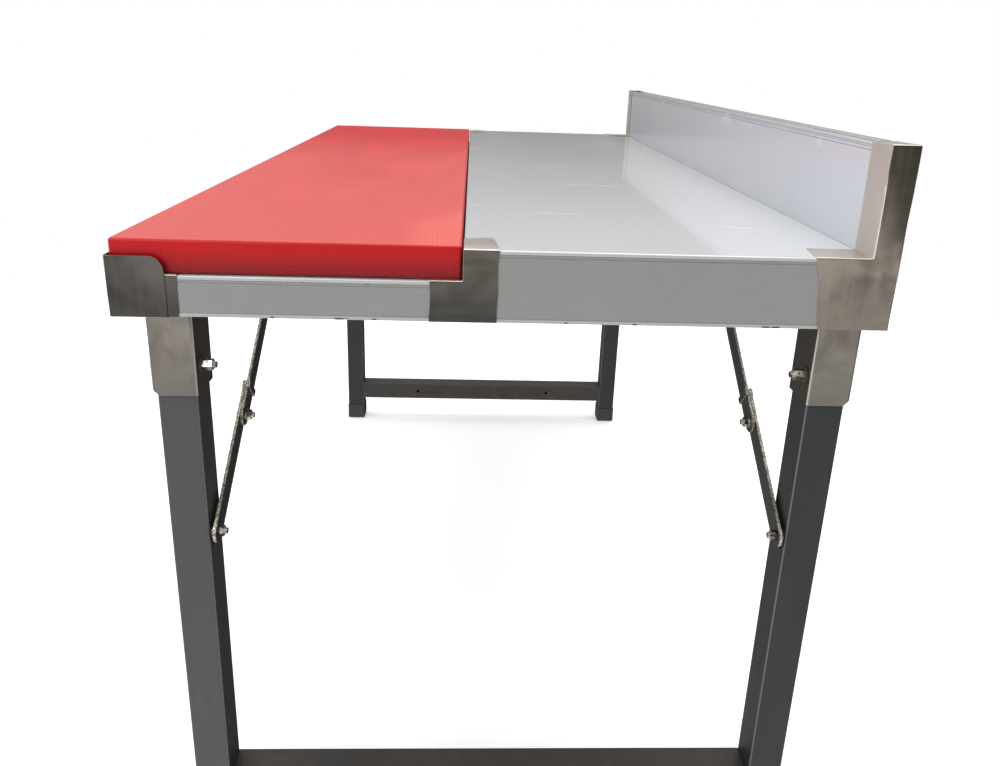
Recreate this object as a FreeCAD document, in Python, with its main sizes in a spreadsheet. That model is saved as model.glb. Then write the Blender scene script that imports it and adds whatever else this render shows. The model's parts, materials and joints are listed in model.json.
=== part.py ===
# Folding butcher's table: a stepped sheet-metal top with an upstand, a lift-off cutting board on
# its lower ledge, and two leg pairs that fold inwards on two-bar stays.
#
# Frame: +X to the right along the table, +Y from the worker's side to the upstand, +Z up.
# The origin is on the floor, under the middle of the table. Lengths are in millimetres.
#
# Only the right end is drawn; the left end is its mirror image. At the right end only the front
# leg, its bracket and its stay are drawn; the rear ones are their mirror images.
import FreeCAD
import Part
import Sketcher
import math
import os
import re

DIMENSIONS = [
    ("table_length", 1500, "outside length of the top"),
    ("table_width", 900, "outside width of the top"),
    ("deck_height", 915, "height of the upper working surface"),
    ("apron_height", 86, "height of the end apron under the upper surface"),
    ("ledge_width", 398.5, "width of the lower ledge that carries the board"),
    ("ledge_drop", 37.5, "step from the upper surface down to the ledge"),
    ("panel_thickness", 4.5, "thickness of the faced panels"),
    ("panel_round", 2, "rounding of the panel's end edges"),
    ("upstand_depth", 30, "thickness of the upstand section"),
    ("upstand_rise", 130, "height of the upstand above the surface"),
    ("upstand_wall", 2, "wall of the upstand section"),
    ("upstand_rib", 8, "width of each rib beside the top groove"),
    ("upstand_groove", 3, "depth of the top groove"),
    ("channel_wall", 2.5, "wall of the apron and rail sections"),
    ("channel_depth", 25, "flange depth of the end aprons"),
    ("rail_depth", 30, "flange depth of the long rails"),
    ("line_depth", 0.8, "depth of the fine line pressed into a section"),
    ("line_half", 0.7, "half the width of that line"),
    ("upper_line", 3.5, "distance of the upper line from the section's top"),
    ("lower_line", 4.5, "distance of the lower line from the section's bottom"),
    ("beam_wall", 2, "wall of the cross beams"),
    ("leg_beam_width", 50, "width of the beam that carries the leg brackets"),
    ("stay_beam_width", 40, "width of the beam that carries the stays"),
    ("stringer_width", 40, "width of the stringer under the upper panel"),
    ("cover_gauge", 1.2, "sheet thickness of the steel covers"),
    ("cover_bend", 1.5, "outside bend radius of the covers"),
    ("corner_wrap", 60, "length of a corner cover along the front"),
    ("liner_width", 75, "width of the inner corner cover"),
    ("liner_shelf", 40, "depth of the inner cover's strip on the ledge"),
    ("stop_width", 63, "width of the outer corner cover"),
    ("stop_rise", 22.5, "height of the board stop above the ledge"),
    ("stop_round", 17, "rounding of the stop's upper corners"),
    ("stop_bend", 3, "rounding of the stop's upright corner"),
    ("stop_lip", 10, "turn-under of the stop below the apron"),
    ("step_left", 38.5, "reach of the step cover over the ledge apron"),
    ("step_right", 40.5, "reach of the step cover over the deck apron"),
    ("step_shelf", 30, "depth of the step cover's strip on the ledge"),
    ("step_wrap", 57, "depth of the step cover along the riser and deck"),
    ("cap_width", 97, "width of the upstand cap along the deck edge"),
    ("cap_foot_width", 84, "width of the upstand cap at its lower edge"),
    ("cap_wrap", 45, "depth of the upstand cap's flanges"),
    ("board_length", 1492, "length of the cutting board"),
    ("board_width", 394.5, "width of the cutting board"),
    ("board_thickness", 40, "thickness of the cutting board"),
    ("board_gap", 1.5, "distance of the board from the front edge"),
    ("board_chamfer", 2.5, "chamfer of the board's edges"),
    ("leg_size", 48, "side of the square leg tube"),
    ("leg_wall", 1.5, "wall of the leg tube"),
    ("leg_round", 3, "corner rounding of the leg tube"),
    ("leg_end_inset", 30, "distance of the legs from the table's end"),
    ("front_leg_inset", 28.5, "distance of the front legs from the front edge"),
    ("rear_leg_inset", 19, "distance of the rear legs from the rear edge"),
    ("leg_top", 16, "height of the leg tube above its pivot"),
    ("leg_cut", 10, "corner cut that lets the leg swing past its bracket"),
    ("pivot_drop", 162, "depth of the leg pivots below the upper surface"),
    ("pivot_edge", 13, "distance of the pivot from the leg's outer face"),
    ("spare_hole", 17, "distance of the spare hole below the stay bolt"),
    ("bracket_gauge", 2, "sheet thickness of the leg brackets"),
    ("bracket_play", 1, "gap between a bracket's side and the leg"),
    ("bracket_inset", 24, "distance of the bracket's face from the table's end"),
    ("bracket_depth", 56, "depth of the bracket along the table"),
    ("bracket_height", 110, "height of the bracket below the apron"),
    ("bracket_bend", 3, "outside bend radius of the bracket"),
    ("bracket_cut", 9, "corner cut at the bracket's lower outer corner"),
    ("crossbar_bottom", 71, "height of the crossbar's underside above the floor"),
    ("crossbar_height", 48, "height of the crossbar tube"),
    ("crossbar_inset", 1, "how far the crossbar's faces lie inside the leg's"),
    ("crossbar_hole_spacing", 410, "distance between the crossbar's two holes"),
    ("crossbar_hole", 4.5, "radius of the crossbar's holes"),
    ("foot_height", 45, "height of the foot cap"),
    ("foot_wall", 1.8, "wall of the foot cap"),
    ("foot_base", 4, "thickness of the foot cap's sole"),
    ("foot_round", 5, "rounding of the foot cap"),
    ("stay_drop", 234, "distance from the leg pivot down to the stay bolt"),
    ("stay_reach", 343, "distance from the leg pivot inwards to the stay's top pivot"),
    ("stay_rise", 43, "height of the stay's top pivot above the leg pivot"),
    ("lower_bar", 165, "pivot distance of the stay's lower bar"),
    ("bar_width", 30, "width of the stay bars"),
    ("bar_gauge", 4, "thickness of the stay bars"),
    ("bar_round", 14.9, "rounding of a bar's pivot end"),
    ("bar_gap", 0.3, "gap between bars that slide past each other"),
    ("bar_spacer", 4.8, "thickness of the spacer between leg and lower bar"),
    ("tail_length", 47, "length of the lower bar beyond the knee"),
    ("tail_round", 4, "rounding of the tail's corners"),
    ("hook_start", 36, "distance of the hook from the knee"),
    ("hook_width", 10, "width of the hook along the bar"),
    ("hook_gauge", 2, "thickness of the hook"),
    ("hook_gap", 0.8, "gap between the hook and the upper bar's edge"),
    ("lug_half", 14, "half the width of the stay's top lug"),
    ("bolt_radius", 4, "radius of the bolts' shanks"),
    ("pivot_play", 0.08, "radial play of a pivot hole on its bolt"),
    ("head_height", 5.3, "height of a bolt's hexagon head"),
    ("nut_height", 6.5, "height of a nut"),
    ("nut_flats", 13, "width across the flats of nuts and heads"),
    ("washer_radius", 11, "radius of the wide washers"),
    ("small_washer_radius", 8.5, "radius of the plain washers and spacers"),
    ("washer_height", 2, "thickness of the wide washers"),
    ("thin_washer", 1.6, "thickness of the plain washers"),
    ("bolt_tip", 4, "length of thread beyond a nut"),
    ("button_radius", 8, "radius of the knee bolt's flat head"),
    ("button_height", 3.2, "height of the knee bolt's flat head"),
]
ALIASES = {name for name, value, meaning in DIMENSIONS}

# Places that many pieces share, as formulas in the driving dimensions.
END_X = "(table_length / 2)"
FRONT_Y = "(-table_width / 2)"
STEP_Y = "(ledge_width - table_width / 2)"
BASE_Z = "(deck_height - apron_height)"
LEDGE_UP = "(apron_height - ledge_drop)"
LEDGE_UNDER = "(apron_height - ledge_drop - panel_thickness)"
DECK_UNDER = "(apron_height - panel_thickness)"
PIVOT_X = "(table_length / 2 - leg_end_inset - pivot_edge)"
PIVOT_Z = "(deck_height - pivot_drop)"
LEG_Y = "(front_leg_inset - table_width / 2)"
LEG_FACE_Y = f"({LEG_Y} + leg_size)"
MIDDLE_Y = "((front_leg_inset - rear_leg_inset) / 2)"
BRACKET_FACE_Y = f"({LEG_FACE_Y} + bracket_play + bracket_gauge)"
LOWER_BAR_Y = f"({LEG_FACE_Y} + bar_spacer)"
UPPER_BAR_Y = f"({LOWER_BAR_Y} + bar_gauge + bar_gap)"
STAY_SPAN = "sqrt(stay_reach ^ 2 + (stay_drop + stay_rise) ^ 2)"
UPPER_BAR = f"({STAY_SPAN} - lower_bar)"
STAY_TURN = "(180 + atan2(stay_drop + stay_rise; stay_reach) / 1 deg)"
KNEE_X = f"({PIVOT_X} - lower_bar * stay_reach / {STAY_SPAN})"
KNEE_Z = f"({PIVOT_Z} - stay_drop + lower_bar * (stay_drop + stay_rise) / {STAY_SPAN})"
STAY_TOP_X = f"({PIVOT_X} - stay_reach)"
STAY_TOP_Z = f"({PIVOT_Z} + stay_rise)"

doc = FreeCAD.newDocument("folding_table")
sheet = doc.addObject("Spreadsheet::Sheet", "Dims")
nodes = []


def fill_sheet():
    """Write each driving dimension, its alias and its meaning into a row of the sheet."""
    for row, (name, value, meaning) in enumerate(DIMENSIONS, start=1):
        sheet.set(f"A{row}", meaning)
        sheet.set(f"B{row}", str(value))
        sheet.setAlias(f"B{row}", name)
    doc.recompute()


def bound(text):
    """Turn a formula in plain aliases into one that names the sheet."""
    return re.sub(r"[a-z_]+", lambda m: f"Dims.{m.group()}" if m.group() in ALIASES else m.group(), text)


def number(text):
    """The present value of a formula."""
    return float(sheet.evalExpression(bound(text)))


def place(thing, x="0", y="0", z="0"):
    """Bind the three coordinates of an object's place."""
    for axis, text in (("x", x), ("y", y), ("z", z)):
        thing.setExpression(f".Placement.Base.{axis}", bound(text))


def new_body(label, x="0", y="0", z="0"):
    """An empty body at a place."""
    body = doc.addObject("PartDesign::Body", label)
    place(body, x, y, z)
    return body


def keep(thing):
    """Mark an object as a sub-part that is written to its own file."""
    nodes.append(thing)
    return thing


def hold(sketch, kind, element, end, text):
    """Fix one coordinate of a sketch point with a bound dimension."""
    row = sketch.addConstraint(Sketcher.Constraint(kind, -1, 1, element, end, number(text)))
    sketch.setExpression(f"Constraints[{row}]", bound(text))


def add_polygon(sketch, corners):
    """A closed loop of straight lines whose corners are all dimensioned."""
    points = [FreeCAD.Vector(number(x), number(y), 0) for x, y in corners]
    first = sketch.GeometryCount
    count = len(corners)
    for index in range(count):
        sketch.addGeometry(Part.LineSegment(points[index], points[(index + 1) % count]), False)
    for index, (x, y) in enumerate(corners):
        before = first + (index - 1) % count
        sketch.addConstraint(Sketcher.Constraint("Coincident", before, 2, first + index, 1))
        hold(sketch, "DistanceX", first + index, 1, x)
        hold(sketch, "DistanceY", first + index, 1, y)


def add_circle(sketch, x, y, radius):
    """A circle with a dimensioned centre and radius."""
    centre = FreeCAD.Vector(number(x), number(y), 0)
    index = sketch.addGeometry(Part.Circle(centre, FreeCAD.Vector(0, 0, 1), number(radius)), False)
    hold(sketch, "DistanceX", index, 3, x)
    hold(sketch, "DistanceY", index, 3, y)
    row = sketch.addConstraint(Sketcher.Constraint("Radius", index, number(radius)))
    sketch.setExpression(f"Constraints[{row}]", bound(radius))


def add_sketch(body, plane, loops, at="0"):
    """A sketch on one of the body's own planes, moved along the plane's axis by a bound distance."""
    sketch = body.newObject("Sketcher::SketchObject", f"{body.Name}_sketch")
    support = [part for part in body.Origin.OriginFeatures if part.Role == f"{plane}_Plane"][0]
    sketch.AttachmentSupport = [(support, "")]
    sketch.MapMode = "FlatFace"
    sign = "-" if plane == "XZ" else ""
    sketch.setExpression(".AttachmentOffset.Base.z", bound(f"{sign}({at})"))
    for loop in loops:
        if loop[0] == "circle":
            add_circle(sketch, *loop[1:])
        else:
            add_polygon(sketch, loop)
    return sketch


def add_pad(body, plane, loops, length, at="0"):
    """Material from a sketch, growing along the plane's positive axis."""
    sketch = add_sketch(body, plane, loops, at)
    pad = body.newObject("PartDesign::Pad", f"{body.Name}_pad")
    pad.Profile = sketch
    pad.Reversed = plane == "XZ"
    pad.setExpression("Length", bound(length))
    doc.recompute()
    return pad


def add_pocket(body, plane, loops, at="0", depth=None):
    """A cut right through both ways, or to a depth along the plane's positive axis."""
    volume = body.Shape.Volume
    sketch = add_sketch(body, plane, loops, at)
    pocket = body.newObject("PartDesign::Pocket", f"{body.Name}_pocket")
    pocket.Profile = sketch
    if depth is None:
        pocket.Type = "ThroughAll"
        pocket.SideType = "Symmetric"
    else:
        pocket.Reversed = plane != "XZ"
        pocket.setExpression("Length", bound(depth))
    doc.recompute()
    if body.Shape.Volume > volume - 0.01:
        raise RuntimeError(f"{body.Label}: a pocket cuts nothing")
    return pocket


def dress(body, kind, size, chosen):
    """Round or chamfer the edges of the body's tip that a test picks."""
    tip = body.Tip
    names = [f"Edge{index}" for index, edge in enumerate(tip.Shape.Edges, start=1) if chosen(edge)]
    if not names:
        raise RuntimeError(f"{body.Label}: no edge to dress")
    feature = body.newObject(f"PartDesign::{kind}", f"{body.Name}_{kind.lower()}")
    feature.Base = (tip, names)
    feature.setExpression("Radius" if kind == "Fillet" else "Size", bound(size))
    doc.recompute()
    return feature


def round_face(body, x, tests):
    """Round the bends round a cover's end face, each with whatever edges run smoothly into it."""
    def chosen(edge):
        return abs(edge.CenterOfMass.x - number(x)) < 0.01 and any(test(edge) for test in tests)
    return dress(body, "Fillet", "cover_bend", chosen)


def runs_along(edge, axis):
    """Whether a straight edge is parallel to an axis."""
    if edge.Curve.TypeId != "Part::GeomLine":
        return False
    return abs(abs(edge.Curve.Direction.dot(axis)) - 1) < 1e-6


def at_height(edge, height):
    """Whether an edge lies at one height in its body."""
    return abs(edge.CenterOfMass.z - height) < 0.01


def edge_at(axis, **places):
    """A test for straight edges along an axis that lie at the given coordinates."""
    def chosen(edge):
        if not runs_along(edge, axis):
            return False
        middle = edge.CenterOfMass
        return all(abs(getattr(middle, name) - number(text)) < 0.01 for name, text in places.items())
    return chosen


ALONG_X = FreeCAD.Vector(1, 0, 0)
ALONG_Y = FreeCAD.Vector(0, 1, 0)
ALONG_Z = FreeCAD.Vector(0, 0, 1)


def rectangle(left, right, low, high):
    """The corners of an upright rectangle."""
    return [(left, low), (right, low), (right, high), (left, high)]


def hexagon():
    """The corners of a nut or bolt head around its axis."""
    corners = []
    for step in range(6):
        angle = math.radians(60 * step)
        across = f"nut_flats / sqrt(3) * {math.cos(angle):.6f}"
        up = f"nut_flats / sqrt(3) * {math.sin(angle):.6f}"
        corners.append((across, up))
    return corners


def mirror(source, label, axis):
    """The mirror image of a piece in the table's middle (X) or between its legs (Y)."""
    image = doc.addObject("Part::Mirroring", label)
    image.Source = source
    image.Normal = ALONG_X if axis == "X" else ALONG_Y
    if axis == "Y":
        image.setExpression("Base.y", bound(MIDDLE_Y))
    return image


def both_ends(right):
    """Keep a right-end piece and its left-end image."""
    keep(right)
    keep(mirror(right, right.Label.replace("right", "left"), "X"))


def four_corners(piece):
    """Images of a right front piece for all four corners, the piece itself first."""
    rear = mirror(piece, piece.Label.replace("front", "rear"), "Y")
    images = [piece, rear]
    for source in (piece, rear):
        images.append(mirror(source, source.Label.replace("right", "left"), "X"))
    return images


def group(label, pieces):
    """Several separate solids that share one node."""
    compound = doc.addObject("Part::Compound", label)
    compound.Links = pieces
    return compound


# --- The top: panels, sections and beams ---


def channel(depth, height, lined):
    """A C section standing on its lower flange, its wall at x = depth, with two fine outer lines."""
    inner = f"({depth} - channel_wall)"
    corners = [("0", "0"), (depth, "0")]
    if lined:
        for middle in ("lower_line", f"({height} - upper_line)"):
            corners.append((depth, f"{middle} - line_half"))
            corners.append((f"{depth} - line_depth", middle))
            corners.append((depth, f"{middle} + line_half"))
    corners += [(depth, height), ("0", height), ("0", f"{height} - channel_wall")]
    corners += [(inner, f"{height} - channel_wall"), (inner, "channel_wall"), ("0", "channel_wall")]
    return corners


def flipped(corners, width):
    """A section turned round left to right within its width."""
    return [(f"{width} - ({x})", y) for x, y in corners]


def make_panels():
    """The faced deck and ledge panels, with softly rounded end edges."""
    for label, width, y, z in (
        ("deck_panel", "(table_width - ledge_width)", STEP_Y, DECK_UNDER),
        ("ledge_panel", "ledge_width", FRONT_Y, LEDGE_UNDER),
    ):
        body = new_body(label, "-table_length / 2", y, f"{BASE_Z} + {z}")
        add_pad(body, "XY", [rectangle("0", "table_length", "0", width)], "panel_thickness")
        ends = edge_at(ALONG_Y, z="panel_thickness")
        dress(body, "Fillet", "panel_round", ends)
        keep(body)


def make_long_sections():
    """The rails, the riser between ledge and deck, the stringer and the upstand."""
    start = "channel_depth - table_length / 2"
    length = "table_length - 2 * channel_depth"
    front = new_body("front_rail", start, FRONT_Y, BASE_Z)
    section = flipped(channel("rail_depth", LEDGE_UNDER, False), "rail_depth")
    add_pad(front, "YZ", [section], length)
    rear = new_body("rear_rail", start, "table_width / 2 - rail_depth", BASE_Z)
    add_pad(rear, "YZ", [channel("rail_depth", DECK_UNDER, False)], length)
    riser = new_body("step_riser", start, STEP_Y, f"{BASE_Z} + {LEDGE_UNDER}")
    section = flipped(channel("rail_depth", "ledge_drop", False), "rail_depth")
    add_pad(riser, "YZ", [section], length)
    middle = f"(({STEP_Y} + table_width / 2 - upstand_depth) / 2)"
    stringer = new_body("deck_stringer", start, middle, f"{BASE_Z} + {LEDGE_UNDER}")
    add_pad(stringer, "YZ", [channel("stringer_width", "ledge_drop", False)], length)
    for body in (front, rear, riser, stringer):
        keep(body)


def make_upstand():
    """A hollow section with a groove along its top and a fine line along its inner face."""
    body = new_body("upstand_profile", "-table_length / 2", "table_width / 2 - upstand_depth", "deck_height")
    floor = "(upstand_rise - upstand_groove)"
    line = "(upstand_rise - 3 * upper_line)"
    outer = [("0", "0"), ("upstand_depth", "0"), ("upstand_depth", "upstand_rise")]
    outer += [("upstand_depth - upstand_rib", "upstand_rise"), ("upstand_depth - upstand_rib", floor)]
    outer += [("upstand_rib", floor), ("upstand_rib", "upstand_rise"), ("0", "upstand_rise")]
    outer += [("0", f"{line} + line_half"), ("line_depth", line), ("0", f"{line} - line_half")]
    inner = rectangle("upstand_wall", "upstand_depth - upstand_wall", "upstand_wall", f"{floor} - upstand_wall")
    add_pad(body, "YZ", [outer, inner], "table_length")
    keep(body)


def make_aprons():
    """The lined C sections that close the table's ends under ledge and deck."""
    for label, height, y, length in (
        ("ledge_apron_right", LEDGE_UNDER, FRONT_Y, "ledge_width"),
        ("deck_apron_right", DECK_UNDER, STEP_Y, "table_width - ledge_width"),
    ):
        body = new_body(label, f"{END_X} - channel_depth", y, BASE_Z)
        add_pad(body, "XZ", [channel("channel_depth", height, True)], length)
        both_ends(body)


def add_beam(body, width):
    """A box tube across the table under the ledge, centred on the body's X."""
    half = f"({width} / 2)"
    outer = rectangle(f"-{half}", half, "0", LEDGE_UNDER)
    inner = rectangle(f"beam_wall - {half}", f"{half} - beam_wall", "beam_wall", f"{LEDGE_UNDER} - beam_wall")
    start = "rail_depth - table_width / 2"
    add_pad(body, "XZ", [outer, inner], "table_width - 2 * rail_depth", start)


def make_beams():
    """The beam over each leg pair, and the beam with two lugs that the stays hang from."""
    middle = f"{END_X} - bracket_inset - bracket_depth / 2"
    leg_beam = new_body("leg_beam_right", middle, "0", BASE_Z)
    add_beam(leg_beam, "leg_beam_width")
    both_ends(leg_beam)
    stay_beam = new_body("stay_beam_right", STAY_TOP_X, "0", BASE_Z)
    add_beam(stay_beam, "stay_beam_width")
    depth = "(pivot_drop - stay_rise - apron_height)"
    lug = [("-lug_half", f"-{depth} - lug_half / 2"), ("-lug_half / 2", f"-{depth} - lug_half")]
    lug += [("lug_half / 2", f"-{depth} - lug_half"), ("lug_half", f"-{depth} - lug_half / 2")]
    lug += [("lug_half", "beam_wall"), ("-lug_half", "beam_wall")]
    hole = ("circle", "0", f"-{depth}", "bolt_radius")
    front = f"({UPPER_BAR_Y} - bar_gap - bar_gauge)"
    for start in (front, f"(2 * {MIDDLE_Y} - {front} - bar_gauge)"):
        add_pad(stay_beam, "XZ", [lug, hole], "bar_gauge", start)
    both_ends(stay_beam)


# --- The steel covers ---


def make_corner_liner():
    """The inner cover of a front corner, folded over the ledge and round to the front."""
    body = new_body("corner_liner_right", END_X, FRONT_Y, BASE_Z)
    top = f"({LEDGE_UP} + cover_gauge)"
    add_pad(body, "YZ", [rectangle("-cover_gauge", "liner_width", "0", top)], "cover_gauge")
    side = rectangle("-corner_wrap", "cover_gauge", "0", top)
    add_pad(body, "XZ", [side], "cover_gauge", "-cover_gauge")
    shelf = rectangle("-liner_shelf", "cover_gauge", "-cover_gauge", "liner_width")
    add_pad(body, "XY", [shelf], "cover_gauge", LEDGE_UP)
    round_face(body, "cover_gauge", [edge_at(ALONG_Y, z=top), edge_at(ALONG_Z, y="-cover_gauge")])
    both_ends(body)


def make_corner_stop():
    """The outer cover of a front corner, which rises above the ledge and stops the board."""
    body = new_body("corner_stop_right", END_X, FRONT_Y, BASE_Z)
    top = f"({LEDGE_UP} + stop_rise)"
    face = "2 * cover_gauge"
    plate = rectangle("-2 * cover_gauge", "stop_width", "-cover_gauge", top)
    add_pad(body, "YZ", [plate], "cover_gauge", "cover_gauge")
    side = rectangle("-corner_wrap", face, "-cover_gauge", top)
    add_pad(body, "XZ", [side], "cover_gauge", "-2 * cover_gauge")
    lip = rectangle("-stop_lip", face, "-2 * cover_gauge", "stop_width")
    add_pad(body, "XY", [lip], "cover_gauge", "-cover_gauge")
    dress(body, "Fillet", "stop_round", edge_at(ALONG_X, y="stop_width", z=top))
    dress(body, "Fillet", "stop_round", edge_at(ALONG_Y, x="-corner_wrap", z=top))
    dress(body, "Fillet", "stop_bend", edge_at(ALONG_Z, x=face, y="-2 * cover_gauge"))
    dress(body, "Fillet", "cover_bend", edge_at(ALONG_Y, x=face, z="-cover_gauge"))
    both_ends(body)


def make_step_cover():
    """The cover over the step, folded on to the ledge, up the riser and on to the deck."""
    body = new_body("step_cover_right", END_X, STEP_Y, BASE_Z)
    low = f"({LEDGE_UP} + cover_gauge)"
    high = "(apron_height + cover_gauge)"
    plate = [("-step_left", "0"), ("step_right", "0"), ("step_right", high)]
    plate += [("-cover_gauge", high), ("-cover_gauge", low), ("-step_left", low)]
    add_pad(body, "YZ", [plate], "cover_gauge")
    shelf = rectangle("-step_shelf", "cover_gauge", "-step_left", "0")
    add_pad(body, "XY", [shelf], "cover_gauge", LEDGE_UP)
    riser = rectangle("-step_wrap", "cover_gauge", LEDGE_UP, high)
    add_pad(body, "XZ", [riser], "cover_gauge", "-cover_gauge")
    deck = [("cover_gauge", "-cover_gauge"), ("cover_gauge", "step_right"), ("-5", "step_right")]
    deck += [("-step_wrap - 4", "step_right - 6"), ("-step_wrap + 3", "-cover_gauge")]
    add_pad(body, "XY", [deck], "cover_gauge", "apron_height")
    dress(body, "Fillet", "cover_gauge", edge_at(ALONG_X, y="-cover_gauge", z=low))
    dress(body, "Fillet", "cover_bend", edge_at(ALONG_X, y="-cover_gauge", z=high))
    round_face(body, "cover_gauge", [edge_at(ALONG_Y, z=high), edge_at(ALONG_Y, z=low)])
    both_ends(body)


def make_upstand_cap():
    """The cover over the upstand's end, folded on to the deck, the upstand and the rear."""
    body = new_body("upstand_cap_right", END_X, "table_width / 2", BASE_Z)
    deck = "(apron_height + cover_gauge)"
    inner = "(-upstand_depth - cover_gauge)"
    top = "(apron_height + upstand_rise + cover_gauge)"
    plate = [("-cap_foot_width", "0"), ("cover_gauge", "0"), ("cover_gauge", top)]
    plate += [(inner, top), (inner, deck), ("-cap_width", deck)]
    add_pad(body, "YZ", [plate], "cover_gauge")
    flange = [("cover_gauge", "-cap_width"), ("cover_gauge", "-upstand_depth")]
    flange += [("-cap_wrap", "-upstand_depth"), ("-cap_wrap", "7 - cap_width")]
    add_pad(body, "XY", [flange], "cover_gauge", "apron_height")
    for start, low in ((inner, "apron_height"), ("0", "0")):
        side = rectangle("-cap_wrap", "cover_gauge", low, top)
        add_pad(body, "XZ", [side], "cover_gauge", start)
    lid = rectangle("-cap_wrap", "cover_gauge", inner, "cover_gauge")
    add_pad(body, "XY", [lid], "cover_gauge", "(apron_height + upstand_rise)")
    dress(body, "Fillet", "cover_bend", edge_at(ALONG_Y, x="cover_gauge", z=top))
    both_ends(body)


def make_board():
    """The lift-off cutting board, lying on the covers' strips just above the ledge."""
    low = f"{BASE_Z} + {LEDGE_UP} + cover_gauge"
    body = new_body("cutting_board", "-board_length / 2", f"{FRONT_Y} + board_gap", low)
    outline = rectangle("0", "board_length", "0", "board_width")
    add_pad(body, "XY", [outline], "board_thickness")
    dress(body, "Chamfer", "board_chamfer", lambda edge: True)
    keep(body)


# --- Legs ---


def make_brackets():
    """The U-shaped brackets that hold the leg pivots under the leg beams."""
    body = new_body("leg_bracket_right_front", f"{END_X} - bracket_inset", f"{LEG_Y} + leg_size / 2", BASE_Z)
    outer = "(leg_size / 2 + bracket_play + bracket_gauge)"
    inner = "(leg_size / 2 + bracket_play)"
    wrap = [("-bracket_depth", f"-{outer}"), ("0", f"-{outer}"), ("0", outer), ("-bracket_depth", outer)]
    wrap += [("-bracket_depth", inner), ("-bracket_gauge", inner)]
    wrap += [("-bracket_gauge", f"-{inner}"), ("-bracket_depth", f"-{inner}")]
    add_pad(body, "XY", [wrap], "bracket_height", "-bracket_height")
    plate = rectangle("-bracket_depth", "0", f"-{outer}", outer)
    add_pad(body, "XY", [plate], "bracket_gauge", "-bracket_gauge")
    bolt_x = "bracket_inset - leg_end_inset - pivot_edge"
    bolt = ("circle", bolt_x, "apron_height - pivot_drop", "bolt_radius")
    add_pocket(body, "XZ", [bolt])
    corner = [(f"-{outer} - 1", "-bracket_height - 1"), (f"-{outer} + bracket_cut", "-bracket_height - 1")]
    corner += [(f"-{outer} - 1", "-bracket_height + bracket_cut")]
    add_pocket(body, "YZ", [corner])
    dress(body, "Fillet", "bracket_bend", lambda edge: is_bracket_bend(edge, outer))
    for piece in four_corners(body):
        keep(piece)


def is_bracket_bend(edge, outer):
    """Whether an edge is one of the two upright outer bends of a bracket."""
    upright = runs_along(edge, ALONG_Z)
    middle = edge.CenterOfMass
    return upright and abs(middle.x) < 0.01 and abs(abs(middle.y) - number(outer)) < 0.01


def make_legs():
    """The square leg tubes, drawn round their pivot, with the top corner cut to swing."""
    body = new_body("leg_right_front", PIVOT_X, f"{LEG_Y} + leg_size / 2", PIVOT_Z)
    near = "(pivot_edge - leg_size)"
    half = "(leg_size / 2)"
    outer = rectangle(near, "pivot_edge", f"-{half}", half)
    far = "pivot_edge - leg_wall"
    inner = rectangle(f"{near} + leg_wall", far, f"leg_wall - {half}", f"{half} - leg_wall")
    foot = "(deck_height - pivot_drop - foot_base)"
    add_pad(body, "XY", [outer], f"{foot} + leg_top", f"-{foot}")
    dress(body, "Fillet", "leg_round", lambda edge: runs_along(edge, ALONG_Z))
    add_pocket(body, "XY", [inner])
    low, high = ("pivot_edge", "leg_top - leg_cut"), ("pivot_edge - leg_cut", "leg_top")
    cut = [low, ("pivot_edge + 1", "leg_top + 1"), high]
    add_pocket(body, "XZ", [cut])
    add_pocket(body, "XZ", [("circle", "0", "0", "bolt_radius + pivot_play")])
    stay = ("circle", "0", "-stay_drop", "bolt_radius")
    spare = ("circle", "0", "-stay_drop - spare_hole", "bolt_radius")
    add_pocket(body, "XZ", [stay, spare], f"{half} - leg_wall - 1", "leg_wall + 2")
    for piece in four_corners(body):
        keep(piece)


def make_crossbars():
    """The tube between each leg pair, with two holes in the face towards the table's middle."""
    body = new_body("crossbar_right", PIVOT_X, LEG_FACE_Y, "crossbar_bottom")
    near = "(pivot_edge - leg_size + crossbar_inset)"
    far = "(pivot_edge - crossbar_inset)"
    outer = rectangle(near, far, "0", "crossbar_height")
    inner = rectangle(f"{near} + leg_wall", f"{far} - leg_wall", "leg_wall", "crossbar_height - leg_wall")
    length = "(table_width - front_leg_inset - rear_leg_inset - 2 * leg_size)"
    add_pad(body, "XZ", [outer, inner], length)
    holes = []
    for side in ("-", "+"):
        middle = f"{length} / 2 {side} crossbar_hole_spacing / 2"
        holes.append(("circle", middle, "crossbar_height / 2", "crossbar_hole"))
    add_pocket(body, "YZ", holes, near, "2 * leg_wall")
    both_ends(body)


def make_feet():
    """The caps over the legs' lower ends."""
    centre_x = f"{PIVOT_X} + pivot_edge - leg_size / 2"
    body = new_body("foot_right_front", centre_x, f"{LEG_Y} + leg_size / 2", "0")
    outer = "(leg_size / 2 + foot_wall)"
    inner = "(leg_size / 2)"
    add_pad(body, "XY", [rectangle(f"-{outer}", outer, f"-{outer}", outer)], "foot_height")
    dress(body, "Fillet", "foot_round", lambda edge: runs_along(edge, ALONG_Z) or at_height(edge, 0))
    socket = rectangle(f"-{inner}", inner, f"-{inner}", inner)
    add_pocket(body, "XY", [socket], "foot_base", "foot_height")
    for piece in four_corners(body):
        keep(piece)


# --- Stays ---


def turn_with_stay(body):
    """Lay a bar, drawn along its own X, in the direction from the stay bolt to the top pivot."""
    body.Placement.Rotation = FreeCAD.Rotation(ALONG_Y, 218)
    body.setExpression(".Placement.Rotation.Angle", bound(STAY_TURN))


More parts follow.
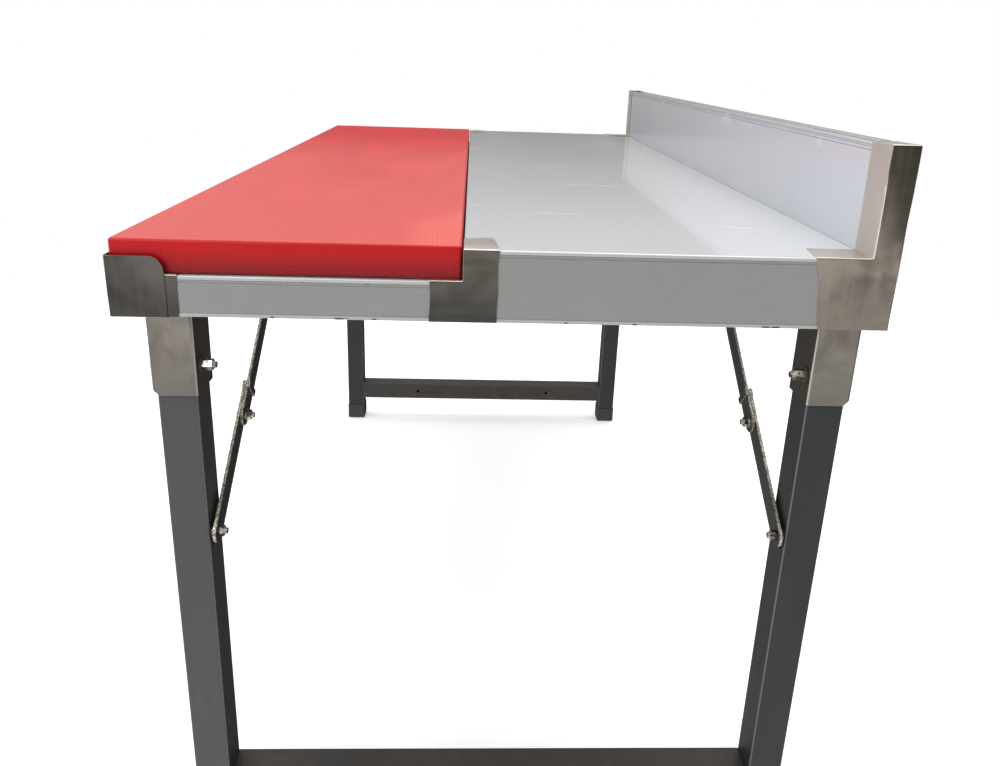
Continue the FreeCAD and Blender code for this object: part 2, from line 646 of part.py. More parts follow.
def make_lower_bars():
    """The stay's lower bar, with a hook past the knee that catches the upper bar's edge."""
    body = new_body("lower_bar_right_front", PIVOT_X, LOWER_BAR_Y, f"{PIVOT_Z} - stay_drop")
    half = "(bar_width / 2)"
    tail = "(lower_bar + tail_length)"
    add_pad(body, "XZ", [rectangle(f"-{half}", tail, f"-{half}", half)], "bar_gauge")
    dress(body, "Fillet", "bar_round", lambda edge: runs_along(edge, ALONG_Y) and edge.CenterOfMass.x < 0)
    dress(body, "Fillet", "tail_round", lambda edge: runs_along(edge, ALONG_Y) and edge.CenterOfMass.x > 0)
    hook_x = "(lower_bar + hook_start)"
    hook_end = f"({hook_x} + hook_width)"
    back = f"(-{half} - hook_gap - hook_gauge)"
    reach = "(2 * bar_gauge + 3 * bar_gap + hook_gauge)"
    ear = rectangle(hook_x, hook_end, back, "0")
    add_pad(body, "XZ", [ear], "bar_gauge")
    wall = rectangle(hook_x, hook_end, back, f"-{half} - hook_gap")
    add_pad(body, "XZ", [wall], reach)
    lip = rectangle(hook_x, hook_end, back, f"{half} + hook_gap")
    add_pad(body, "XZ", [lip], "hook_gauge", f"{reach} - hook_gauge")
    foot = ("circle", "0", "0", "bolt_radius + pivot_play")
    knee = ("circle", "lower_bar", "0", "bolt_radius")
    add_pocket(body, "XZ", [foot, knee])
    turn_with_stay(body)
    for piece in four_corners(body):
        keep(piece)


def make_upper_bars():
    """The stay's upper bar, from the knee to the lug under the stay beam."""
    body = new_body("upper_bar_right_front", STAY_TOP_X, UPPER_BAR_Y, STAY_TOP_Z)
    half = "(bar_width / 2)"
    outline = rectangle(f"-{UPPER_BAR} - {half}", half, f"-{half}", half)
    add_pad(body, "XZ", [outline], "bar_gauge")
    dress(body, "Fillet", "bar_round", lambda edge: runs_along(edge, ALONG_Y))
    knee = ("circle", f"-{UPPER_BAR}", "0", "bolt_radius")
    top = ("circle", "0", "0", "bolt_radius + pivot_play")
    add_pocket(body, "XZ", [knee, top])
    turn_with_stay(body)
    for piece in four_corners(body):
        keep(piece)


# --- Bolts, nuts and washers. All lie along Y ---


def shank(length):
    """A bolt's round shank, ready for add_pad."""
    return [("circle", "0", "0", "bolt_radius")], length


def hex_bolt(label, x, y, z, length):
    """A bolt with a hexagon head on its outboard side."""
    body = new_body(label, x, y, z)
    add_pad(body, "XZ", [hexagon()], "head_height", "-head_height")
    add_pad(body, "XZ", *shank(length))
    return body


def hex_nut(label, x, y, z):
    """A hexagon nut."""
    body = new_body(label, x, y, z)
    add_pad(body, "XZ", [hexagon(), ("circle", "0", "0", "bolt_radius")], "nut_height")
    return body


def washer(label, x, y, z, radius, height):
    """A plain ring."""
    body = new_body(label, x, y, z)
    add_pad(body, "XZ", [("circle", "0", "0", radius), ("circle", "0", "0", "bolt_radius")], height)
    return body


def make_pivot_hardware():
    """The bolt, washer and two nuts of each leg pivot, four of each kind in a group."""
    outside = f"({LEG_Y} - bracket_play - bracket_gauge)"
    reach = f"({BRACKET_FACE_Y} - {outside} + washer_height + 2 * nut_height + bolt_tip)"
    bolt = hex_bolt("pivot_bolt_right_front", PIVOT_X, outside, PIVOT_Z, reach)
    keep(group("pivot_bolts", four_corners(bolt)))
    size = ("washer_radius", "washer_height")
    ring = washer("pivot_washer_right_front", PIVOT_X, BRACKET_FACE_Y, PIVOT_Z, *size)
    keep(group("pivot_washers", four_corners(ring)))
    nuts = []
    for count in (0, 1):
        y = f"{BRACKET_FACE_Y} + washer_height + {count} * nut_height"
        nut = hex_nut(f"pivot_nut_{count + 1}_right_front", PIVOT_X, y, PIVOT_Z)
        nuts += four_corners(nut)
    keep(group("pivot_nuts", nuts))


def make_stay_foot_hardware():
    """The bolt, spacer and nut that join each lower bar to its leg, one group for each end."""
    z = f"{PIVOT_Z} - stay_drop"
    nut_y = f"({LOWER_BAR_Y} + bar_gauge + bar_gap)"
    inside = f"({LEG_FACE_Y} - leg_wall)"
    reach = f"({nut_y} - {inside} + nut_height + bolt_tip)"
    pieces = [hex_bolt("stay_foot_bolt_right_front", PIVOT_X, inside, z, reach)]
    height = "bar_spacer - bar_gap"
    pieces.append(washer("stay_spacer_right_front", PIVOT_X, LEG_FACE_Y, z, "small_washer_radius", height))
    pieces.append(hex_nut("stay_foot_nut_right_front", PIVOT_X, nut_y, z))
    rear = [mirror(piece, piece.Label.replace("front", "rear"), "Y") for piece in pieces]
    both_ends(group("stay_foot_bolts_right", pieces + rear))


def make_stay_top_hardware():
    """The bolt and nut that join each upper bar to its lug, all in one group."""
    lug_y = f"({UPPER_BAR_Y} - bar_gap - bar_gauge)"
    nut_y = f"({UPPER_BAR_Y} + bar_gauge + bar_gap)"
    reach = f"({nut_y} - {lug_y} + nut_height + bolt_tip)"
    bolt = hex_bolt("stay_top_bolt_right_front", STAY_TOP_X, lug_y, STAY_TOP_Z, reach)
    nut = hex_nut("stay_top_nut_right_front", STAY_TOP_X, nut_y, STAY_TOP_Z)
    keep(group("stay_top_bolts", four_corners(bolt) + four_corners(nut)))


def make_knee_hardware():
    """The knee bolt, parted between the two bars: a flat head half and a nut half."""
    bolt = new_body("knee_bolt_right_front", KNEE_X, LOWER_BAR_Y, KNEE_Z)
    add_pad(bolt, "XZ", [("circle", "0", "0", "button_radius")], "button_height", "-button_height")
    top = -number("button_height")
    dress(bolt, "Fillet", "button_height / 2", lambda edge: abs(edge.CenterOfMass.y - top) < 0.01)
    add_pad(bolt, "XZ", *shank("bar_gauge + bar_gap / 3"))
    for piece in four_corners(bolt):
        keep(piece)
    nut = new_body("knee_nut_right_front", KNEE_X, UPPER_BAR_Y, KNEE_Z)
    add_pad(nut, "XZ", [("circle", "0", "0", "bolt_radius")], "bar_gauge + bar_gap / 3", "-bar_gap / 3")
    add_pad(nut, "XZ", [("circle", "0", "0", "small_washer_radius")], "thin_washer", "bar_gauge")
    add_pad(nut, "XZ", [hexagon()], "nut_height", "bar_gauge + thin_washer")
    add_pad(nut, "XZ", *shank("bar_gauge + thin_washer + nut_height + bolt_tip"))
    for piece in four_corners(nut):
        keep(piece)


def check_objects():
    """Stop if any object failed to compute, or any sub-part is not a sound solid."""
    for thing in doc.Objects:
        if "Invalid" in thing.State or "Error" in thing.State:
            raise RuntimeError(f"{thing.Label} is {thing.State}")
    labels = [thing.Label for thing in nodes]
    if len(labels) != len(set(labels)):
        raise RuntimeError("two sub-parts share a label")
    for thing in nodes:
        if thing.Shape.isNull() or not thing.Shape.isValid():
            raise RuntimeError(f"{thing.Label} has no sound shape")


def write_nodes():
    """Write each sub-part to its own file and list its solids and box."""
    os.makedirs("parts", exist_ok=True)
    for thing in nodes:
        thing.Shape.exportStep(f"parts/{thing.Label}.step")
        box = thing.Shape.BoundBox
        low = f"({box.XMin:.1f} {box.YMin:.1f} {box.ZMin:.1f})"
        high = f"({box.XMax:.1f} {box.YMax:.1f} {box.ZMax:.1f})"
        print(f"{thing.Label}: {len(thing.Shape.Solids)} solids, {low} {high}")
    print(f"{len(nodes)} nodes")


fill_sheet()
make_panels()
make_long_sections()
make_upstand()
make_aprons()
make_beams()
make_corner_liner()
make_corner_stop()
make_step_cover()
make_upstand_cap()
make_board()
make_brackets()
make_legs()
make_crossbars()
make_feet()
make_lower_bars()
make_upper_bars()
make_pivot_hardware()
make_stay_foot_hardware()
make_stay_top_hardware()
make_knee_hardware()
doc.recompute()
check_objects()
write_nodes()
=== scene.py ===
"""Finishes, worked sheet-metal pieces, light and camera for a folding butcher's table.

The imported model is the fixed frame, in metres: +X runs to the right along the table, +Y from the
worker's side to the upstand, +Z up, with the origin on the floor under the middle of the table.
"""

import json
import logging
import math
from dataclasses import dataclass, field
from enum import Enum
from typing import Any, Iterable, Optional, Protocol, Union

import bmesh
import bpy
from mathutils import Matrix, Vector, noise

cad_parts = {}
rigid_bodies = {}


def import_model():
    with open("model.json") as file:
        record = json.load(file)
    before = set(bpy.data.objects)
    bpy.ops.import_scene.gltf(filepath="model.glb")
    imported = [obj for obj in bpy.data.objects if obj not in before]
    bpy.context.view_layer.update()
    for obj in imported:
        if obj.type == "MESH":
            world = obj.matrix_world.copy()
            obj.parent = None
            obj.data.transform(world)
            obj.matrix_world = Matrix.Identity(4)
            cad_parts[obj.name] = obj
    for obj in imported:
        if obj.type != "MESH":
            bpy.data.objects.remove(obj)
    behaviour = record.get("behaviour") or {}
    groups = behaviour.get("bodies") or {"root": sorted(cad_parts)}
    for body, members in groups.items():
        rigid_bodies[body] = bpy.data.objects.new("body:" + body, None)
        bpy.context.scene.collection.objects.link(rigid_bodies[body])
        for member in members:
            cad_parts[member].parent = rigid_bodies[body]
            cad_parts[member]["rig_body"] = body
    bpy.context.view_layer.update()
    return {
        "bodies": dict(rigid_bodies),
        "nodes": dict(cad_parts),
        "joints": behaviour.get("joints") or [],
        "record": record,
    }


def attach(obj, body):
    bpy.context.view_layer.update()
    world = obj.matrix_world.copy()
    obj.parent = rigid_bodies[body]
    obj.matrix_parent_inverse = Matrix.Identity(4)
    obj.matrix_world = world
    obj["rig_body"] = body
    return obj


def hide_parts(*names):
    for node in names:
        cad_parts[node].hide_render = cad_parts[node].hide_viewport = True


LOG = logging.getLogger("butchers_table")

Triple = tuple[float, float, float]
Value = Union[float, Triple, bpy.types.NodeSocket]

ONE_POINT = 0.000001
"""Two corners closer than this, in metres, are the same corner."""
WELD = 0.000002
"""The same distance for the modifier that joins a piece's faces."""
FLAT = math.radians(1)
"""Faces that meet at less than this angle are one flat face."""
SMOOTH = math.radians(32)
"""Faces that meet at less than this angle are shaded as one curved surface."""
HARD = math.radians(38)
"""Faces that meet at more than this angle have a hard edge between them."""
MOST = (0.3, 0.7)
"""Most of a grain pattern's values lie between these two."""
NOISE_GAIN = 1.8
"""Brings the reach of a noise up to about 1."""


class End(Enum):
    """The two ends of the table."""

    RIGHT = 1
    LEFT = -1

    @property
    def word(self) -> str:
        """The end's name as the node names spell it."""
        return self.name.lower()


class Row(Enum):
    """The two rows of legs."""

    FRONT = -1
    REAR = 1

    @property
    def word(self) -> str:
        """The row's name as the node names spell it."""
        return self.name.lower()


class Brushing(Enum):
    """The way the grain of brushed sheet runs, as a stretch of the grain pattern."""

    UPRIGHT = (1.0, 1.0, 0.02)
    ACROSS = (1.0, 0.02, 1.0)


def tone(red: int, green: int, blue: int) -> Triple:
    """Turn a paint chart's colour into a linear one.

    Args:
        red: red, from 0 to 255.
        green: green, from 0 to 255.
        blue: blue, from 0 to 255.

    Returns:
        The linear colour.
    """
    parts = [channel / 255 for channel in (red, green, blue)]
    linear = [p / 12.92 if p <= 0.04045 else ((p + 0.055) / 1.055) ** 2.4 for p in parts]
    return (linear[0], linear[1], linear[2])


class Recipe:
    """A surface finish that is built up step by step from shader nodes."""

    def __init__(self, name: str, **constants: float) -> None:
        """Start a finish.

        Args:
            name: the material's name.
            constants: values for the shader's own sockets, with underscores for spaces.
        """
        self.material = bpy.data.materials.new(name)
        self.material.use_nodes = True
        self.tree = self.material.node_tree
        self.tree.nodes.clear()
        self.shader = self.add("ShaderNodeBsdfPrincipled")
        output = self.add("ShaderNodeOutputMaterial")
        self.tree.links.new(self.shader.outputs["BSDF"], output.inputs["Surface"])
        self.where = self.add("ShaderNodeTexCoord")
        self.place = self.where.outputs["Object"]
        for key, value in constants.items():
            self.shader.inputs[key.replace("_", " ")].default_value = value

    def add(self, kind: str, **settings: Any) -> bpy.types.Node:
        """Add a node.

        Args:
            kind: Blender's name for the kind of node.
            settings: the node's own settings.

        Returns:
            The node.
        """
        node = self.tree.nodes.new(kind)
        for key, value in settings.items():
            setattr(node, key, value)
        return node

    def feed(self, socket: bpy.types.NodeSocket, value: Value) -> None:
        """Give a socket a number, a colour or another node's output.

        Args:
            socket: the input to set.
            value: what it gets.
        """
        if isinstance(value, bpy.types.NodeSocket):
            self.tree.links.new(value, socket)
        elif isinstance(value, tuple) and socket.type == "RGBA":
            socket.default_value = (*value, 1.0)
        else:
            socket.default_value = value

    def surface(self, **inputs: Value) -> bpy.types.Material:
        """Feed the shader's varying inputs.

        Args:
            inputs: a value for each input, with underscores for spaces.

        Returns:
            The finished material.
        """
        for key, value in inputs.items():
            self.feed(self.shader.inputs[key.replace("_", " ")], value)
        return self.material

    def grain(self, scale: float, detail: float = 2.0, stretch: Triple = (1.0, 1.0, 1.0),
              warp: float = 0.0, seed: float = 0.0) -> bpy.types.NodeSocket:
        """Make a cloudy or streaky pattern.

        Args:
            scale: how many features there are in a metre.
            detail: how many finer layers it has.
            stretch: the pattern's density along each axis, as a share of the scale.
            warp: how far the pattern is distorted.
            seed: shifts the pattern, so that two of them differ.

        Returns:
            The pattern, from 0 to 1.
        """
        mapping = self.add("ShaderNodeMapping")
        mapping.inputs["Scale"].default_value = stretch
        mapping.inputs["Location"].default_value = (seed, seed * 0.7, seed * 1.3)
        self.feed(mapping.inputs["Vector"], self.place)
        cloud = self.add("ShaderNodeTexNoise")
        self.feed(cloud.inputs["Vector"], mapping.outputs["Vector"])
        self.feed(cloud.inputs["Scale"], scale)
        self.feed(cloud.inputs["Detail"], detail)
        self.feed(cloud.inputs["Distortion"], warp)
        return cloud.outputs["Fac"]

    def calc(self, operation: str, first: Value, second: Value = 0.0) -> bpy.types.NodeSocket:
        """Do one step of arithmetic.

        Args:
            operation: Blender's name for the step.
            first: the first value.
            second: the second value, where the step takes one.

        Returns:
            The result.
        """
        node = self.add("ShaderNodeMath", operation=operation)
        self.feed(node.inputs[0], first)
        self.feed(node.inputs[1], second)
        return node.outputs[0]

    def span(self, value: Value, low: float, high: float,
             start: float = 0.0, stop: float = 1.0) -> bpy.types.NodeSocket:
        """Fade smoothly from one number to another.

        Args:
            value: what the fade follows.
            low: the value where it begins.
            high: the value where it ends.
            start: the number up to low.
            stop: the number from high on.

        Returns:
            The faded number.
        """
        node = self.add("ShaderNodeMapRange", interpolation_type="SMOOTHSTEP")
        for socket, number in zip(node.inputs, (value, low, high, start, stop)):
            self.feed(socket, number)
        return node.outputs[0]

    def blend(self, share: Value, first: Value, second: Value) -> bpy.types.NodeSocket:
        """Mix two colours.

        Args:
            share: the share of the second colour.
            first: the first colour.
            second: the second colour.

        Returns:
            The mixed colour.
        """
        node = self.add("ShaderNodeMix", data_type="RGBA")
        self.feed(node.inputs[0], share)
        self.feed(node.inputs[6], first)
        self.feed(node.inputs[7], second)
        return node.outputs[2]

    def along(self, axis: str) -> bpy.types.NodeSocket:
        """Find the place along an axis.

        Args:
            axis: X, Y or Z.

        Returns:
            The place in metres.
        """
        node = self.add("ShaderNodeSeparateXYZ")
        self.feed(node.inputs[0], self.place)
        return node.outputs[axis]

    def facing(self, axis: str) -> bpy.types.NodeSocket:
        """Find how squarely the surface faces along an axis, either way.

        Args:
            axis: X, Y or Z.

        Returns:
            A share, from 0 to 1.
        """
        node = self.add("ShaderNodeSeparateXYZ")
        self.feed(node.inputs[0], self.where.outputs["Normal"])
        return self.calc("ABSOLUTE", node.outputs[axis])

    def bend(self) -> bpy.types.NodeSocket:
        """Find where a surface turns round a corner, away from the end of the table.

        Returns:
            A share, from 0 on flat faces to 1 in the middle of a bend.
        """
        ends = self.facing("X")
        rest = self.calc("SUBTRACT", 1.0, ends)
        return self.span(self.calc("MULTIPLY", ends, rest), 0.10, 0.19)

    def inward(self) -> bpy.types.NodeSocket:
        """Find how squarely a face looks across the table at the other row of legs.

        Returns:
            A share, from 0 to 1.
        """
        node = self.add("ShaderNodeSeparateXYZ")
        self.feed(node.inputs[0], self.where.outputs["Normal"])
        side = self.calc("SIGN", self.along("Y"))
        return self.span(self.calc("MULTIPLY", node.outputs["Y"], side), -0.9, -0.4, 1.0, 0.0)

    def band(self, value: Value, middle: float, half: float, soft: float) -> bpy.types.NodeSocket:
        """Draw a line.

        Args:
            value: what the line is drawn across.
            middle: the value at the line's middle.
            half: half the line's width.
            soft: the width of its soft border.

        Returns:
            1 on the line and 0 off it.
        """
        away = self.calc("ABSOLUTE", self.calc("SUBTRACT", value, middle))
        return self.span(away, half, half + soft, 1.0, 0.0)

    def relief(self, height: Value, depth: float,
               under: Optional[bpy.types.NodeSocket] = None) -> bpy.types.NodeSocket:
        """Raise a pattern on the surface.

        Args:
            height: the pattern, from 0 to 1.
            depth: how high its highest point stands, in metres.
            under: a relief that this one lies on.

        Returns:
            The surface's direction with the relief on it.
        """
        node = self.add("ShaderNodeBump")
        node.inputs["Strength"].default_value = 1.0
        node.inputs["Distance"].default_value = depth
        self.feed(node.inputs["Height"], height)
        if under is not None:
            self.feed(node.inputs["Normal"], under)
        return node.outputs["Normal"]


@dataclass(frozen=True)
class BrushedSheet:
    """Brushed stainless sheet: rolled-in grain, dull patches, hammered dents, and painted light
    and shade.
    """

    name: str
    brushing: Brushing
    light: Triple = tone(150, 143, 134)
    dark: Triple = tone(118, 112, 105)
    low: Triple = tone(92, 93, 94)
    high: Triple = tone(118, 112, 105)
    flange: Triple = tone(214, 203, 188)
    inner: Triple = tone(62, 54, 46)
    inner_share: float = 0.0
    inner_metal: float = 1.0
    rim: Triple = tone(236, 231, 222)
    rim_share: float = 0.55
    lean: float = 0.0
    lean_from: float = 0.42
    foot_z: float = 0.829
    rise: float = 0.07
    head_z: float = 0.96
    fade: float = 0.03
    dull: float = 0.27
    dent: float = 0.0016
    scratch: float = 0.00002
    hairs: float = 1500.0
    streaks: float = 150.0
    patches: float = 17.0

    def make(self) -> bpy.types.Material:
        """Build the material.

        Returns:
            The material.
        """
        recipe = Recipe(self.name, IOR=1.5, Specular_IOR_Level=0.3)
        streak = recipe.grain(self.hairs, 3.0, self.brushing.value)
        broad = recipe.grain(self.streaks, 2.0, self.brushing.value, seed=3.0)
        patch = recipe.grain(self.patches, 2.0, warp=0.6, seed=1.0)
        upright = recipe.along("Z")
        tint = recipe.blend(recipe.span(patch, 0.35, 0.68), self.dark, self.light)
        # Painted reflection and shade: the foot of the sheet takes its own tone, darker on some
        # covers and lighter on others.
        low = recipe.span(upright, self.foot_z, self.foot_z + self.rise, 0.8, 0.0)
        tint = recipe.blend(low, tint, self.low)
        # Painted reflection: the head, above a line that can slant across the sheet, takes its own
        # tone.
        inset = recipe.calc("SUBTRACT", recipe.along("Y"), self.lean_from)
        slant = recipe.calc("MULTIPLY", inset, self.lean)
        high = recipe.span(recipe.calc("ADD", upright, slant), self.head_z - self.fade,
                           self.head_z + self.fade, 0.0, 0.95)
        tint = recipe.blend(high, tint, self.high)
        tint = recipe.blend(recipe.span(streak, 0.35, 0.75, 0.0, 0.16), tint, self.dark)
        tint = recipe.blend(recipe.span(broad, 0.40, 0.72, 0.0, 0.14), tint, self.light)
        # Painted highlight: faces that look up take a light tone.
        tint = recipe.blend(recipe.span(recipe.facing("Z"), 0.35, 0.9), tint, self.flange)
        # Painted light and shade on faces that look across at the other row of legs; these faces
        # also shine less.
        inner = recipe.inward()
        tint = recipe.blend(recipe.calc("MULTIPLY", inner, self.inner_share), tint, self.inner)
        metal = recipe.span(inner, 0.0, 1.0, 1.0, self.inner_metal)
        # Painted highlight along the rounded bends.
        tint = recipe.blend(recipe.calc("MULTIPLY", recipe.bend(), self.rim_share), tint, self.rim)
        rough = recipe.calc("ADD", recipe.span(streak, *MOST, 0.0, 0.08),
                            recipe.span(patch, *MOST, self.dull, self.dull + 0.10))
        buckle = recipe.relief(recipe.grain(13.0, 1.0, seed=5.0), self.dent)
        dents = recipe.relief(recipe.grain(46.0, 1.0, seed=9.0), self.dent * 0.18, buckle)
        lines = recipe.relief(streak, self.scratch, dents)
        return recipe.surface(Base_Color=tint, Metallic=metal, Roughness=rough, Normal=lines)


@dataclass(frozen=True)
class FacedPanel:
    """The glossy pale facing of the worktop under its thin scuffed film, with painted light and
    shade.
    """

    name: str
    near: Triple = tone(207, 209, 211)
    far: Triple = tone(196, 195, 194)
    edge: Triple = tone(170, 172, 170)
    scuff: Triple = tone(226, 226, 224)
    speck: Triple = tone(96, 92, 88)
    end_x: float = 0.75
    wave: float = 0.0011
    film: float = 0.00006

    def make(self) -> bpy.types.Material:
        """Build the material.

        Returns:
            The material.
        """
        recipe = Recipe(self.name, Metallic=0.0, IOR=1.5, Coat_Weight=1.0, Coat_Roughness=0.05,
                        Specular_IOR_Level=0.5)
        cloud = recipe.grain(2.6, 2.0, (0.4, 1.0, 1.0))
        # Painted light: lighter towards the near end of the table, darker towards the far end.
        tint = recipe.blend(recipe.span(recipe.along("X"), -self.end_x, self.end_x),
                            self.far, self.near)
        tint = recipe.blend(recipe.span(cloud, 0.4, 0.7, 0.0, 0.3), tint, self.far)
        wisp = recipe.grain(36.0, 3.0, (1.0, 0.10, 1.0), warp=0.7, seed=2.0)
        where = recipe.span(recipe.grain(3.4, 1.0, seed=8.0), 0.48, 0.62)
        fine = recipe.calc("MULTIPLY", recipe.span(wisp, 0.60, 0.70), where)
        tint = recipe.blend(recipe.calc("MULTIPLY", fine, 0.6), tint, self.scuff)
        dots = recipe.span(recipe.grain(210.0, 1.0, seed=4.0), 0.76, 0.80)
        tint = recipe.blend(recipe.calc("MULTIPLY", dots, 0.5), tint, self.speck)
        # Painted shade: faces that don't look up, the panel's edges, take a darker grey.
        tint = recipe.blend(recipe.span(recipe.facing("Z"), 0.2, 0.5, 1.0, 0.0), tint, self.edge)
        rough = recipe.calc("ADD", recipe.span(fine, 0.0, 1.0, 0.16, 0.30),
                            recipe.span(cloud, *MOST, 0.0, 0.08))
        wave = recipe.relief(recipe.grain(5.0, 1.0, (0.5, 1.0, 1.0), seed=6.0), self.wave)
        film = recipe.relief(wisp, self.film, wave)
        return recipe.surface(Base_Color=tint, Roughness=rough, Normal=film)


@dataclass(frozen=True)
class UpstandFace:
    """The upstand's pale facing: bluish on its inner face, warm and grooved on top."""

    name: str
    pale: Triple = tone(188, 191, 200)
    shade: Triple = tone(177, 178, 182)
    torn: Triple = tone(232, 232, 234)
    warm: Triple = tone(176, 164, 152)
    worn: Triple = tone(140, 130, 120)
    mark: Triple = tone(105, 100, 98)
    top_z: float = 1.045
    sway: float = 0.0008
    cut: float = 0.0003
    lines: tuple[float, ...] = (0.0042, 0.0064)

    def make(self) -> bpy.types.Material:
        """Build the material.

        Returns:
            The material.
        """
        recipe = Recipe(self.name, Metallic=0.0, IOR=1.5, Coat_Weight=0.7, Coat_Roughness=0.12,
                        Specular_IOR_Level=0.5)
        cloud = recipe.grain(4.0, 2.0, (0.6, 1.0, 1.0))
        high = recipe.along("Z")
        # Painted shade towards the far end of the table, over a random cloudy tone.
        shade = recipe.calc("ADD", recipe.span(cloud, 0.36, 0.66, 0.0, 0.3),
                            recipe.span(recipe.along("X"), -0.3, 0.7, 0.7, 0.0))
        tint = recipe.blend(shade, self.pale, self.shade)
        flake = recipe.grain(30.0, 2.0, (0.5, 1.0, 1.0), warp=0.4, seed=7.0)
        upper = recipe.span(high, self.top_z - 0.030, self.top_z - 0.008)
        torn = recipe.calc("MULTIPLY", recipe.span(flake, 0.62, 0.66), upper)
        tint = recipe.blend(recipe.calc("MULTIPLY", torn, 0.3), tint, self.torn)
        dots = recipe.span(recipe.grain(150.0, 1.0, seed=2.0), 0.745, 0.77)
        tint = recipe.blend(recipe.calc("MULTIPLY", dots, 0.8), tint, self.mark)
        score: Value = 0.0
        for drop in self.lines:
            line = recipe.band(high, self.top_z - drop, 0.0003, 0.0003)
            score = recipe.calc("MAXIMUM", score, line)
        tint = recipe.blend(recipe.calc("MULTIPLY", score, 0.55), tint, self.mark)
        top = recipe.span(recipe.facing("Z"), 0.5, 0.9)
        crown = recipe.blend(recipe.span(flake, *MOST), self.warm, self.worn)
        tint = recipe.blend(top, tint, crown)
        rough = recipe.span(cloud, *MOST, 0.24, 0.38)
        sway = recipe.relief(recipe.grain(6.0, 1.0, (0.5, 1.0, 1.0), seed=5.0), self.sway)
        cut = recipe.relief(recipe.calc("SUBTRACT", 1.0, score), self.cut, sway)
        return recipe.surface(Base_Color=tint, Roughness=rough, Normal=cut)


@dataclass(frozen=True)
class EdgeSection:
    """Satin grey section with its fine lines, a ragged seam under the lip and nicked lower lip."""

    name: str
    face: Triple = tone(141, 142, 140)
    cloudy: Triple = tone(136, 136, 134)
    lower: Triple = tone(178, 182, 180)
    seam: Triple = tone(34, 34, 33)
    seams: tuple[float, ...] = ()
    base_z: float = 0.829
    lip: float = 0.0045
    edge: float = 0.0002
    sway: float = 0.0005
    cut: float = 0.0003

    def make(self) -> bpy.types.Material:
        """Build the material.

        Returns:
            The material.
        """
        recipe = Recipe(self.name, Metallic=0.25, IOR=1.5, Specular_IOR_Level=0.45)
        high = recipe.along("Z")
        cloud = recipe.grain(7.0, 2.0)
        fine = recipe.grain(700.0, 2.0, (1.0, 0.05, 1.0), seed=2.0)
        tint = recipe.blend(recipe.span(cloud, *MOST, 0.0, 0.16), self.face, self.cloudy)
        tint = recipe.blend(recipe.span(fine, *MOST, 0.0, 0.08), tint, self.lower)
        lip = recipe.span(high, self.base_z + self.lip - 0.0006, self.base_z + self.lip, 1.0, 0.0)
        tint = recipe.blend(recipe.calc("MULTIPLY", lip, 0.8), tint, self.lower)
        rag = recipe.grain(60.0, 3.0, seed=3.0)
        crack: Value = 0.0
        for level in self.seams:
            depth = recipe.span(rag, 0.62, 0.84, 0.0003, 0.0020)
            near = recipe.calc("SUBTRACT", level, high)
            inside = recipe.calc("LESS_THAN", near, depth)
            under = recipe.calc("GREATER_THAN", near, -self.edge)
            gap = recipe.calc("MULTIPLY", inside, under)
            crack = recipe.calc("MAXIMUM", crack, gap)
        nick = recipe.calc("MULTIPLY", recipe.span(recipe.grain(38.0, 3.0, seed=11.0), 0.62, 0.66),
                           recipe.span(high, self.base_z + 0.0012, self.base_z + 0.0030, 1.0, 0.0))
        dark = recipe.calc("MAXIMUM", crack, nick)
        tint = recipe.blend(dark, tint, self.seam)
        rough = recipe.span(cloud, *MOST, 0.38, 0.50)
        sway = recipe.relief(cloud, self.sway)
        cut = recipe.relief(recipe.calc("SUBTRACT", 1.0, dark), self.cut, sway)
        return recipe.surface(Base_Color=tint, Roughness=rough, Normal=cut)


